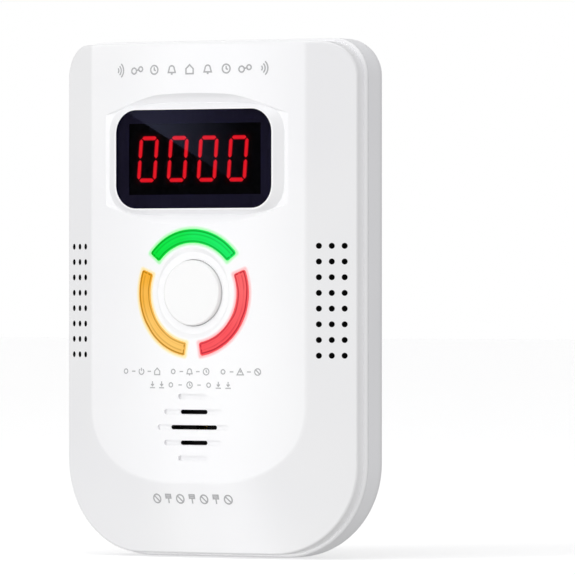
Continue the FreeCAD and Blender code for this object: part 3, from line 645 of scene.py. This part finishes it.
def litSegments():
    settings = displaySettings
    finish = Finish("litSegments")
    deep = (0.0 - digitDistance(finish)) / (settings["segmentWidth"] / 2)
    mottle = finish.noise(settings["mottlePerMetre"], 3.0)
    colour = deep.step(0.0, 0.42).coloured(settings["litEdge"], settings["litColour"])
    colour = (deep.step(0.45, 1.0) * mottle).coloured(colour, settings["litCore"])
    ends = segmentEnds(finish) * settings["mitreShare"]
    colour = ends.coloured(colour, settings["mitreColour"])
    return finish.done(
        finish.shader(
            baseColor=settings["litBase"],
            emissionColor=colour,
            emissionStrength=settings["litStrength"],
            roughness=0.4 + mottle * 0.2,
            specularLevel=0.05,
        )
    )


def unlitSegments():
    settings = displaySettings
    finish = Finish("unlitSegments")
    mottle = finish.noise(settings["mottlePerMetre"], 3.0)
    colour = mottle.coloured(settings["darkColour"], settings["darkShade"])
    return finish.done(
        finish.shader(baseColor=colour, roughness=0.5 + mottle * 0.2, specularLevel=0.05)
    )


def displayCase():
    # black epoxy-filled case, with a painted glow: a little red from the lit segments painted on its face
    settings = displaySettings
    finish = Finish("displayCase")
    speck = finish.noise(3000.0, 2.0)
    paintedSpill = digitDistance(finish).fade(settings["paintedSpillReach"]) * settings["paintedSpillShare"]
    inCell = abs(finish.x - digitsMiddle.x) < settings["digitPitch"] * 2
    colour = speck.coloured(settings["caseColour"], settings["caseSpeck"])
    glow = (paintedSpill * inCell).coloured((0.0, 0.0, 0.0, 1.0), settings["litColour"])
    return finish.done(
        finish.shader(
            baseColor=colour,
            emissionColor=glow,
            emissionStrength=1.0,
            roughness=0.6 + speck * 0.15,
            normal=finish.bump(speck, 0.004 * mm),
            specularLevel=0.04,
        )
    )


def windowPrint():
    # dark ink on the back of the lens, with the fine speckle of a screen
    settings = displaySettings
    finish = Finish("windowPrint")
    speck = finish.noise(settings["printSpeckPerMetre"], 1.0)
    cloud = finish.noise(settings["printCloudPerMetre"], 2.0)
    colour = cloud.step(0.35, 0.7).coloured(settings["printColour"], settings["printShade"])
    colour = (speck.step(0.6, 0.75) * 0.3).coloured(colour, settings["printSpeck"])
    return finish.done(
        finish.shader(baseColor=colour, roughness=0.6 + speck * 0.1, specularLevel=0.04)
    )


def smokedLens():
    # polished acrylic: tinted straight through, with a mirror-like skin
    settings = displaySettings
    finish = Finish("smokedLens")
    through = finish.start.node("BsdfTransparent", None, {"Color": settings["lensTint"]})
    skin = finish.start.node("BsdfGlossy", None, {"Color": settings["lensSkin"], "Roughness": 0.0})
    facing = finish.start.node("Fresnel", None, {"IOR": settings["lensIndex"]})
    both = finish.start.node("MixShader", None, {0: facing, 1: through, 2: skin})
    return finish.done(both)


wear(litSegments(), "digit_segments")
wear(unlitSegments(), "middle_segments")
wear(displayCase(), "display_body")
wear(windowPrint(), "window_mask")
wear(smokedLens(), "display_window")


# metals, boards and the parts inside

print("stage: inner parts")


def metal(name, look):
    # drawn or plated metal: fine streaks along one axis, faint blotches
    finish = Finish(name)
    stretch = finish.start.node(
        "Mapping", None, {"Vector": finish.place, "Scale": look["streak"]}
    )
    streaks = finish.start.node(
        "TexNoise", None, {"Vector": stretch, "Scale": look["perMetre"], "Detail": 4.0}
    )
    blotch = finish.noise(look["blotchPerMetre"], 3.0)
    colour = blotch.step(0.35, 0.7).coloured(look["colour"], look["worn"])
    return finish.done(
        finish.shader(
            baseColor=colour,
            metallic=1.0,
            roughness=look["roughness"] + streaks * look["spread"],
            normal=finish.bump(streaks, look["depth"]),
        )
    )


def dullPart(name, colour, shade, roughness, perMetre=600.0, depth=0.004 * mm):
    # small inner parts: moulded, dipped, fired or felted
    finish = Finish(name)
    cloud = finish.noise(perMetre, 4.0, 0.6)
    speck = finish.noise(perMetre * 6.0, 2.0)
    mixed = cloud.step(0.35, 0.7).coloured(colour, shade)
    return finish.done(
        finish.shader(
            baseColor=mixed,
            roughness=roughness + (speck - 0.5) * 0.15,
            normal=finish.bump(speck, depth),
        )
    )


boardSettings = {
    "maskColour": rgb(18, 92, 52),
    "trackColour": rgb(30, 118, 66),
    "weavePerMetre": 2600.0,
    "tracksPerMetre": 260.0,
    "trackGap": 0.04,
}


def boardLaminate():
    # green solder mask over a glass weave, with tracks showing through
    finish = Finish("boardLaminate")
    settings = boardSettings
    weaveX = finish.x.maths("SINE", finish.x * settings["weavePerMetre"])
    weaveZ = finish.z.maths("SINE", finish.z * settings["weavePerMetre"])
    weave = weaveX * weaveZ
    tracks = finish.start.node(
        "TexBrick",
        {"offset": 0.5, "squash": 1.0},
        {
            "Vector": finish.place,
            "Color1": (0.0, 0.0, 0.0, 1.0),
            "Color2": (1.0, 1.0, 1.0, 1.0),
            "Mortar": (0.5, 0.5, 0.5, 1.0),
            "Scale": settings["tracksPerMetre"],
            "Mortar Size": settings["trackGap"],
        },
    )
    colour = tracks.coloured(settings["maskColour"], settings["trackColour"])
    return finish.done(
        finish.shader(
            baseColor=colour,
            roughness=0.3 + weave * 0.05,
            normal=finish.bump(weave, 0.004 * mm),
        )
    )


bladeLook = {
    "colour": rgb(214, 200, 168),
    "worn": rgb(196, 178, 138),
    "streak": (1.0, 0.06, 1.0),
    "perMetre": 5000.0,
    "blotchPerMetre": 180.0,
    "roughness": 0.2,
    "spread": 0.22,
    "depth": 0.003 * mm,
}
zincLook = dict(bladeLook)
zincLook.update(colour=rgb(190, 192, 196), worn=rgb(160, 162, 168), streak=(1.0, 1.0, 1.0))
tinLook = dict(zincLook)
tinLook.update(colour=rgb(206, 206, 208), worn=rgb(188, 188, 190), roughness=0.3)
brassLook = dict(bladeLook)
brassLook.update(colour=rgb(212, 178, 98), worn=rgb(186, 148, 74), streak=(1.0, 1.0, 1.0))
bronzeLook = dict(bladeLook)
bronzeLook.update(colour=rgb(200, 142, 92), worn=rgb(170, 112, 66))

wear(metal("bladeMetal", bladeLook), "left_blade", "right_blade")
wear(metal("zincPlate", zincLook), "case_screws", "board_screws", "fuse_caps")
wear(metal("springSteel", zincLook), "button_spring")
wear(
    metal("tinnedLeads", tinLook),
    "display_pins", "microcontroller_leads", "co_sensor_can", "crystal",
)
wear(metal("piezoBrass", brassLook), "piezo_disc")
wear(metal("contactBronze", bronzeLook), "blade_contacts")
wear(boardLaminate(), "main_board")
wear(dullPart("firedCeramic", rgb(236, 232, 222), rgb(226, 222, 210), 0.5), "piezo_ceramic")
wear(dullPart("lampBody", rgb(240, 236, 214), rgb(228, 222, 196), 0.35), "green_leds", "amber_leds")
wear(dullPart("redLampBody", rgb(240, 236, 214), rgb(228, 222, 196), 0.35), "red_leds")
wear(dullPart("baffleBlack", rgb(30, 30, 32), rgb(22, 22, 24), 0.7), "light_baffle")
wear(dullPart("switchBlack", rgb(22, 22, 23), rgb(15, 15, 16), 0.55), "switch_body", "switch_plunger")
wear(dullPart("sounderBlack", rgb(4, 4, 5), rgb(2, 2, 3), 0.85), "sounder_cup", "sounder_lid")
wear(dullPart("foamGrey", rgb(44, 44, 46), rgb(30, 30, 32), 0.95, 900.0, 0.06 * mm), "sounder_gasket")
wear(dullPart("sensorCap", rgb(34, 34, 38), rgb(26, 26, 29), 0.6), "co_sensor_cap")
wear(dullPart("carbonFelt", rgb(18, 18, 18), rgb(10, 10, 10), 0.98, 1500.0, 0.08 * mm), "co_sensor_filter")
wear(dullPart("ferriteCore", rgb(46, 46, 48), rgb(36, 36, 38), 0.65), "transformer_core")
wear(dullPart("windingTape", rgb(226, 186, 36), rgb(212, 168, 28), 0.3), "transformer_winding")
wear(dullPart("canSleeve", rgb(24, 32, 60), rgb(18, 25, 48), 0.25), "storage_capacitors")
wear(dullPart("filmBox", rgb(224, 178, 40), rgb(208, 160, 32), 0.35), "safety_capacitor")
wear(dullPart("dippedBlue", rgb(34, 74, 150), rgb(26, 58, 126), 0.3), "varistor")
wear(
    dullPart("packageBlack", rgb(26, 26, 28), rgb(19, 19, 20), 0.6),
    "bridge_rectifier", "microcontroller", "chip_resistors",
)


fuseSettings = {"tint": rgb(214, 224, 224), "clear": 0.35, "hazePerMetre": 500.0}


def fuseGlass():
    settings = fuseSettings
    finish = Finish("fuseGlass")
    roughness = 0.05 + finish.noise(settings["hazePerMetre"], 2.0) * 0.05
    return finish.done(
        finish.shader(
            baseColor=settings["tint"], roughness=roughness, alpha=settings["clear"], ior=1.5
        )
    )


wear(fuseGlass(), "fuse_tube")


labelSettings = {
    "low": rgb(205, 206, 208),
    "high": rgb(222, 223, 225),
    "streak": (0.03, 1.0, 1.0),
    "perMetre": 6000.0,
    "metallic": 0.35,
    "depth": 0.002 * mm,
}


def labelFilm():
    # satin silver polyester, finely brushed
    settings = labelSettings
    finish = Finish("labelFilm")
    stretch = finish.start.node(
        "Mapping", None, {"Vector": finish.place, "Scale": settings["streak"]}
    )
    brushed = finish.start.node(
        "TexNoise", None, {"Vector": stretch, "Scale": settings["perMetre"], "Detail": 3.0}
    )
    colour = brushed.coloured(settings["low"], settings["high"])
    return finish.done(
        finish.shader(
            baseColor=colour,
            metallic=settings["metallic"],
            roughness=0.38 + brushed * 0.12,
            normal=finish.bump(brushed, settings["depth"]),
        )
    )


wear(labelFilm(), "rating_label")
wear(dullPart("screenShade", rgb(10, 10, 10), rgb(5, 5, 5), 0.9), "vent_screens")


# printed symbols

print("stage: printed symbols")

symbolSettings = {
    "ink": rgb(180, 180, 182),
    "inkWorn": rgb(188, 188, 190),
    "lift": 0.025 * mm,
    "sink": 0.04 * mm,
    "stroke": 0.15,
    "sharpest": 0.45,  # a mitre stops growing at this share
    "leftwards": 0.8 * mm,
    "castFrom": 10 * mm,  # where the rays that find the cover start, in front of it
    "rows": {
        "titleSymbols": {
            "above": 53.0 * mm,
            "tall": 2.3 * mm,
            "pitch": 4.85 * mm,
            "marks": ["waves", "molecule", "clock", "bell", "house", "bell", "clock", "molecule", "waves"],
        },
        "legendSymbols": {
            "above": -16.9 * mm,
            "tall": 1.7 * mm,
            "pitch": 2.22 * mm,
            "marks": [
                *("ring", "dash", "power", "dash", "house", ""),
                *("ring", "dash", "bell", "dash", "clock", ""),
                *("ring", "dash", "warning", "dash", "slash"),
            ],
        },
        "pressSymbols": {
            "above": -20.0 * mm,
            "tall": 1.65 * mm,
            "pitch": 2.55 * mm,
            "marks": ["press", "press", "ring", "dash", "clock", "dash", "ring", "press", "press"],
        },
        "careSymbols": {
            "above": -46.4 * mm,
            "tall": 2.25 * mm,
            "pitch": 3.2 * mm,
            "marks": ["slash", "brush", "slash", "brush", "slash", "brush", "slash"],
        },
    },
}


def arcPoints(x, z, radius, start, end, count=20):
    # points along part of a circle, angles in degrees
    turns = [math.radians(start + (end - start) * i / count) for i in range(count + 1)]
    return [(x + radius * math.cos(t), z + radius * math.sin(t)) for t in turns]


def markStrokes(name):
    # one symbol, one unit tall, as open or closed lines of (points, closed)
    circle = arcPoints(0, 0, 0.44, 0, 360)[:-1]
    if name == "house":
        return [([(-0.42, -0.45), (0.42, -0.45), (0.42, 0.05), (0, 0.45), (-0.42, 0.05)], True)]
    if name == "bell":
        dome = arcPoints(0, 0.08, 0.3, 0, 180)
        return [([(0.42, -0.3)] + dome + [(-0.42, -0.3)], True), ([(-0.1, -0.45), (0.1, -0.45)], False)]
    if name == "clock":
        return [(circle, True), ([(0, 0.26), (0, 0), (0.18, -0.1)], False)]
    if name == "molecule":
        left = arcPoints(-0.38, -0.08, 0.3, 0, 360)[:-1]
        right = arcPoints(0.44, 0.1, 0.24, 0, 360)[:-1]
        return [(left, True), (right, True), ([(-0.1, -0.02), (0.2, 0.05)], False)]
    if name == "waves":
        return [(arcPoints(-0.5, 0, r, -48, 48), False) for r in (0.3, 0.6, 0.9)]
    if name == "power":
        return [(arcPoints(0, -0.03, 0.4, 125, 415), False), ([(0, 0.48), (0, 0.02)], False)]
    if name == "warning":
        return [([(-0.48, -0.4), (0.48, -0.4), (0, 0.44)], True), ([(0, 0.14), (0, -0.12)], False)]
    if name == "press":
        return [
            ([(0, 0.48), (0, -0.1)], False),
            ([(-0.24, 0.1), (0, -0.16), (0.24, 0.1)], False),
            ([(-0.42, -0.42), (0.42, -0.42)], False),
        ]
    if name == "ring":
        return [(arcPoints(0, 0, 0.3, 0, 360)[:-1], True)]
    if name == "slash":
        return [(circle, True), ([(-0.31, 0.31), (0.31, -0.31)], False)]
    if name == "brush":
        return [
            ([(-0.3, 0.08), (0.3, 0.08), (0.3, 0.44), (-0.3, 0.44)], True),
            ([(-0.22, 0.26), (0.22, 0.26)], False),
            ([(0, 0.02), (0, -0.46)], False),
        ]
    if name == "dash":
        return [([(-0.28, 0), (0.28, 0)], False)]
    return []


def sideways(points, closed, half):
    # the two edges of a line of even width, mitred at its corners
    edges = ([], [])
    last = len(points) - 1
    for i, here in enumerate(points):
        before = points[i - 1] if i > 0 or closed else here
        after = points[(i + 1) % len(points)] if i < last or closed else here
        first = Vector((here[0] - before[0], here[1] - before[1])).normalized()
        second = Vector((after[0] - here[0], after[1] - here[1])).normalized()
        if first.length == 0:
            first = second
        if second.length == 0:
            second = first
        along = (first + second).normalized()
        normal = Vector((-along.y, along.x))
        reach = half / max(symbolSettings["sharpest"], abs(normal.dot(Vector((-first.y, first.x)))))
        edges[0].append((here[0] + normal.x * reach, here[1] + normal.y * reach))
        edges[1].append((here[0] - normal.x * reach, here[1] - normal.y * reach))
    return edges


coverTree = BVHTree.FromObject(nodes["front_cover"], bpy.context.evaluated_depsgraph_get())


def onCover(x, z, lift):
    # the front cover's surface at x and z, lifted towards the viewer
    start = Vector((x, frontLow.y - symbolSettings["castFrom"], z))
    hit = coverTree.ray_cast(start, Vector((0, 1, 0)))
    return Vector((x, hit[0].y - lift, z))


def layLine(mesh, points, closed, x, z, scale):
    # one printed line, as a thin closed ribbon sunk into the cover
    edges = sideways(points, closed, symbolSettings["stroke"] / 2)
    rings = []
    lift, sink = symbolSettings["lift"], -symbolSettings["sink"]
    for i in range(len(points)):
        ring = []
        for edge, height in ((0, lift), (1, lift), (1, sink), (0, sink)):
            px, pz = edges[edge][i]
            ring.append(mesh.verts.new(onCover(x + px * scale, z + pz * scale, height)))
        rings.append(ring)
    pairs = list(zip(rings, rings[1:]))
    if closed:
        pairs.append((rings[-1], rings[0]))
    else:
        mesh.faces.new(rings[0])
        mesh.faces.new(rings[-1][::-1])
    for first, second in pairs:
        for i in range(4):
            j = (i + 1) % 4
            mesh.faces.new((first[j], first[i], second[i], second[j]))


def symbolInk():
    finish = Finish("symbolInk")
    speck = finish.noise(4000.0, 3.0)
    colour = speck.step(0.45, 0.7).coloured(symbolSettings["ink"], symbolSettings["inkWorn"])
    return finish.done(
        finish.shader(baseColor=colour, roughness=0.5 + speck * 0.1, specularLevel=0.2)
    )


def printSymbols():
    ink = symbolInk()
    for name, row in symbolSettings["rows"].items():
        form = bmesh.new()
        first = bodyMiddle.x - symbolSettings["leftwards"]
        first -= (len(row["marks"]) - 1) / 2 * row["pitch"]
        height = bodyMiddle.z + row["above"]
        for i, mark in enumerate(row["marks"]):
            for points, closed in markStrokes(mark):
                layLine(form, points, closed, first + i * row["pitch"], height, row["tall"])
        bmesh.ops.recalc_face_normals(form, faces=form.faces)
        mesh = bpy.data.meshes.new(name)
        form.to_mesh(mesh)
        form.free()
        mesh.materials.append(ink)
        piece = bpy.data.objects.new(name, mesh)
        bpy.context.scene.collection.objects.link(piece)
        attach(piece, "housing")


printSymbols()


# grown pieces: the button's coil and the display's solder joints

print("stage: coil and solder joints")

coilSettings = {
    "wireRadius": 0.3 * mm,
    "turns": 5.0,
    "travel": 0.8 * mm,
    "stepsPerTurn": 40,
    "sides": 12,
}
jointSettings = {
    "columns": 6,
    "rows": 2,
    "sides": 24,
    "steps": 4,
    "pinHalf": 0.25 * mm,
    "footRadius": 0.85 * mm,
    "tipRadius": 0.32 * mm,
    "tall": 0.9 * mm,
}


class Growth:
    # a geometry tree with named inputs, grown into a plain mesh
    def __init__(self, name, inputs):
        self.name = name
        self.tree = bpy.data.node_groups.new(name, "GeometryNodeTree")
        self.tree.interface.new_socket("Geometry", in_out="OUTPUT", socket_type="NodeSocketGeometry")
        self.keys = {}
        self.values = {}
        for label, value in inputs.items():
            kind = "NodeSocketInt" if isinstance(value, int) else "NodeSocketFloat"
            socket = self.tree.interface.new_socket(label, in_out="INPUT", socket_type=kind)
            self.keys[label] = socket.identifier
            self.values[label] = value
        self.source = self.tree.nodes.new("NodeGroupInput")

    def size(self, label):
        return self.source.outputs[label]

    def node(self, kind, ports):
        made = self.tree.nodes.new(kind)
        for port, value in ports.items():
            if isinstance(value, bpy.types.NodeSocket):
                self.tree.links.new(value, made.inputs[port])
            elif isinstance(value, bpy.types.Node):
                self.tree.links.new(value.outputs[0], made.inputs[port])
            else:
                made.inputs[port].default_value = value
        return made

    def grown(self, shape, material, smooth=True):
        smoothed = self.node("GeometryNodeSetShadeSmooth", {0: shape, 2: smooth})
        real = self.node("GeometryNodeRealizeInstances", {0: smoothed})
        coated = self.node("GeometryNodeSetMaterial", {0: real})
        coated.inputs["Material"].default_value = material
        end = self.tree.nodes.new("NodeGroupOutput")
        self.tree.links.new(coated.outputs[0], end.inputs[0])
        piece = bpy.data.objects.new(self.name, bpy.data.meshes.new(self.name))
        bpy.context.scene.collection.objects.link(piece)
        modifier = piece.modifiers.new("growth", "NODES")
        modifier.node_group = self.tree
        for label, key in self.keys.items():
            modifier[key] = self.values[label]
        view = bpy.context.evaluated_depsgraph_get()
        mesh = bpy.data.meshes.new_from_object(piece.evaluated_get(view))
        piece.modifiers.remove(modifier)
        piece.data = mesh
        mesh.name = self.name
        return piece


def buttonCoil():
    low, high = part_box("button_spring")
    wire = coilSettings["wireRadius"]
    inputs = {
        "Turns": coilSettings["turns"],
        "Radius": (high.x - low.x) / 2 - wire,
        "Length": high.y - low.y - 2 * wire,
        "Wire Radius": wire,
        "Steps": coilSettings["stepsPerTurn"],
        "Sides": coilSettings["sides"],
    }
    growth = Growth("buttonCoil", inputs)
    spiral = growth.node(
        "GeometryNodeCurveSpiral",
        {
            "Resolution": growth.size("Steps"),
            "Rotations": growth.size("Turns"),
            "Start Radius": growth.size("Radius"),
            "End Radius": growth.size("Radius"),
            "Height": growth.size("Length"),
        },
    )
    ring = growth.node(
        "GeometryNodeCurvePrimitiveCircle",
        {"Resolution": growth.size("Sides"), "Radius": growth.size("Wire Radius")},
    )
    tube = growth.node(
        "GeometryNodeCurveToMesh", {"Curve": spiral, "Profile Curve": ring, "Fill Caps": True}
    )
    middle = (low + high) / 2
    placed = growth.node(
        "GeometryNodeTransform",
        {
            "Geometry": tube,
            "Translation": (middle.x, low.y + wire, middle.z),
            "Rotation": (-math.pi / 2, 0.0, 0.0),
        },
    )
    coil = growth.grown(placed, metal("coilSteel", zincLook))
    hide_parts("button_spring")
    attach(coil, "housing")
    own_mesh(coil)


def solderJoints():
    low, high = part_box("display_pins")
    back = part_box("main_board")[1].y
    settings = jointSettings
    inputs = {
        "Columns": settings["columns"],
        "Rows": settings["rows"],
        "Width": high.x - low.x - 2 * settings["pinHalf"],
        "Height": high.z - low.z - 2 * settings["pinHalf"],
        "Foot Radius": settings["footRadius"],
        "Tip Radius": settings["tipRadius"],
        "Tall": settings["tall"],
    }
    growth = Growth("solderJoints", inputs)
    grid = growth.node(
        "GeometryNodeMeshGrid",
        {
            "Size X": growth.size("Width"),
            "Size Y": growth.size("Height"),
            "Vertices X": growth.size("Columns"),
            "Vertices Y": growth.size("Rows"),
        },
    )
    cone = growth.node(
        "GeometryNodeMeshCone",
        {
            "Vertices": settings["sides"],
            "Side Segments": settings["steps"],
            "Radius Top": growth.size("Tip Radius"),
            "Radius Bottom": growth.size("Foot Radius"),
            "Depth": growth.size("Tall"),
        },
    )
    repeated = growth.node("GeometryNodeInstanceOnPoints", {"Points": grid, "Instance": cone.outputs["Mesh"]})
    middle = (low + high) / 2
    placed = growth.node(
        "GeometryNodeTransform",
        {
            "Geometry": repeated,
            "Translation": (middle.x, back, middle.z),
            "Rotation": (-math.pi / 2, 0.0, 0.0),
        },
    )
    joints = growth.grown(placed, metal("solderTin", tinLook), smooth=False)
    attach(joints, "housing")


buttonCoil()
solderJoints()


# light, camera and floor

print("stage: studio")

studio = {
    "distance": 1.6,
    "azimuth": math.radians(30.0),
    "viewWidth": 132.87 * mm,
    "sideways": 21.95 * mm,
    "upwards": 2.54 * mm,
    "sensor": 36.0,
    "ambient": 0.565,
    "fromFront": 0.25,
    "fromRight": 0.14,
    "fromAbove": 0.11,
    "ceilingLevel": 1.6,
    "ceilingFrom": (0.5, 0.8),
    "darkBelow": 0.45,
    "darkFrom": (-0.66, -0.85),
    "panelAzimuth": math.radians(-27.0),
    "panelHalfWidth": math.radians(8.0),
    "panelSoftness": math.radians(6.0),
    "panelLow": -0.62,
    "panelHigh": 0.3,
    "panelEdge": 0.12,
    "panelLevel": 3.4,
    "mirrorBright": 0.46,
    "mirrorHalfAngle": 2.0,
    "mirrorEdge": (0.6, 0.8),  # which way the bright edge slants
    "mirrorShift": 0.0022,
    "mirrorFade": (-0.0085, 0.007),
    "mirrorSoftness": 0.0001,
    "keyWay": (-29.0, 34.0),
    "lampDistance": 1.5,
    "keySize": 0.5,
    "keyPower": 3.8,
    "fillWay": (-38.0, -32.0),
    "fillSize": 0.6,
    "fillPower": 2.8,
    "rimWay": (12.0, 64.0),
    "rimSize": 0.5,
    "rimPower": 0.9,
    "floorDrop": 0.2 * mm,
    "floorSize": 12.0,
    "floorGlow": 0.36,
    "floorColour": rgb(244, 244, 244),
    "floorShade": rgb(241, 241, 242),
}


def wayOf(angles):
    # unit vector towards an azimuth and elevation seen from the object; azimuth 0 is its front
    azimuth, elevation = math.radians(angles[0]), math.radians(angles[1])
    flat = math.cos(elevation)
    return Vector((math.sin(azimuth) * flat, -math.cos(azimuth) * flat, math.sin(elevation)))


def placeCamera():
    view = Vector((-math.sin(studio["azimuth"]), math.cos(studio["azimuth"]), 0.0))
    right = Vector((math.cos(studio["azimuth"]), math.sin(studio["azimuth"]), 0.0))
    aim = Vector((bodyMiddle.x, frontLow.y, bodyMiddle.z))
    aim = aim + right * studio["sideways"] + Vector((0.0, 0.0, studio["upwards"]))
    camera = bpy.data.cameras.new("viewCamera")
    camera.sensor_width = studio["sensor"]
    camera.lens = studio["sensor"] * studio["distance"] / studio["viewWidth"]
    holder = bpy.data.objects.new("viewCamera", camera)
    bpy.context.scene.collection.objects.link(holder)
    holder.location = aim - view * studio["distance"]
    holder.rotation_euler = view.to_track_quat("-Z", "Y").to_euler()
    bpy.context.scene.camera = holder
    return holder.location.copy()


def setWorld(cameraPlace):
    world = bpy.data.worlds.new("studioWorld")
    bpy.context.scene.world = world
    world.use_nodes = True
    tree = world.node_tree
    tree.nodes.clear()
    start = Shade(tree)
    ray = tree.nodes.new("ShaderNodeLightPath")
    isCamera = Shade(tree, ray.outputs["Is Camera Ray"])
    isGlossy = Shade(tree, ray.outputs["Is Glossy Ray"])
    apart = tree.nodes.new("ShaderNodeSeparateXYZ")
    way = start.node("TexCoord", out="Generated")
    tree.links.new(way.link, apart.inputs[0])
    wayX, wayY, wayZ = (Shade(tree, out) for out in apart.outputs)

    def along(vector):
        return wayX * vector[0] + wayY * vector[1] + wayZ * vector[2]

    room = studio["ambient"] + wayX * studio["fromRight"] + wayZ * studio["fromAbove"]
    room = (room - wayY * studio["fromFront"]).above(0.0)
    turn = wayX.maths("ARCTAN2", wayX, 0.0 - wayY) - studio["panelAzimuth"]
    half, soft = studio["panelHalfWidth"], studio["panelSoftness"]
    low, high, fade = studio["panelLow"], studio["panelHigh"], studio["panelEdge"]
    tall = wayZ.step(low - fade, low) * wayZ.step(high + fade, high)
    panel = abs(turn).step(half + soft, half) * tall * studio["panelLevel"]
    # where the flat window looks, a dark card with a slanting bright edge
    aim = (windowMiddle - cameraPlace).normalized()
    aim.y = -aim.y
    edge = math.cos(math.radians(studio["mirrorHalfAngle"]))
    card = along(aim) > edge
    shift, softness = studio["mirrorShift"], studio["mirrorSoftness"]
    slantX, slantZ = studio["mirrorEdge"]
    slant = (wayX - aim.x + shift) * slantX + (wayZ - aim.z - shift) * slantZ
    fall = 1.0 - (wayX - aim.x).step(*studio["mirrorFade"])
    mirror = slant.step(-softness, softness) * fall * studio["mirrorBright"]
    ceiling = wayZ.step(*studio["ceilingFrom"]) * studio["ceilingLevel"]
    below = wayZ.step(*studio["darkFrom"]) * studio["darkBelow"]
    seen = card.chosen(mirror, room + panel + ceiling - below)
    level = isCamera.chosen(1.0, isGlossy.chosen(seen, room))
    sky = start.node("Background", None, {"Color": (1.0, 1.0, 1.0, 1.0), "Strength": level})
    end = tree.nodes.new("ShaderNodeOutputWorld")
    tree.links.new(sky.link, end.inputs["Surface"])


def placeLamp(name, way, size, power):
    lamp = bpy.data.lights.new(name, "AREA")
    lamp.size = size
    lamp.energy = power
    holder = bpy.data.objects.new(name, lamp)
    bpy.context.scene.collection.objects.link(holder)
    holder.location = bodyMiddle + wayOf(way) * studio["lampDistance"]
    toward = bodyMiddle - holder.location
    holder.rotation_euler = toward.to_track_quat("-Z", "Y").to_euler()
    return holder


def placeLamps():
    key = placeLamp("keyLight", studio["keyWay"], studio["keySize"], studio["keyPower"])
    fill = placeLamp("fillLight", studio["fillWay"], studio["fillSize"], studio["fillPower"])
    key.visible_glossy = False
    fill.visible_glossy = False
    placeLamp("rimLight", studio["rimWay"], studio["rimSize"], studio["rimPower"])


def layFloor():
    half = studio["floorSize"] / 2
    height = shellLow.z - studio["floorDrop"]
    mesh = bpy.data.meshes.new("floor")
    corners = [(x * half, y * half, height) for x, y in ((-1, -1), (1, -1), (1, 1), (-1, 1))]
    mesh.from_pydata(corners, [], [(0, 1, 2, 3)])
    floor = bpy.data.objects.new("floor", mesh)
    bpy.context.scene.collection.objects.link(floor)
    finish = Finish("paleFloor")
    cloud = finish.noise(3.0, 2.0)
    mesh.materials.append(
        finish.done(
            finish.shader(
                baseColor=cloud.coloured(studio["floorColour"], studio["floorShade"]),
                roughness=0.9,
                emissionColor=(1.0, 1.0, 1.0, 1.0),
                emissionStrength=studio["floorGlow"],
            )
        )
    )
    for name in ("visible_diffuse", "visible_glossy", "visible_shadow"):
        setattr(floor, name, False)


bpy.context.scene.view_settings.view_transform = "Standard"
cameraSpot = placeCamera()
setWorld(cameraSpot)
placeLamps()
layFloor()
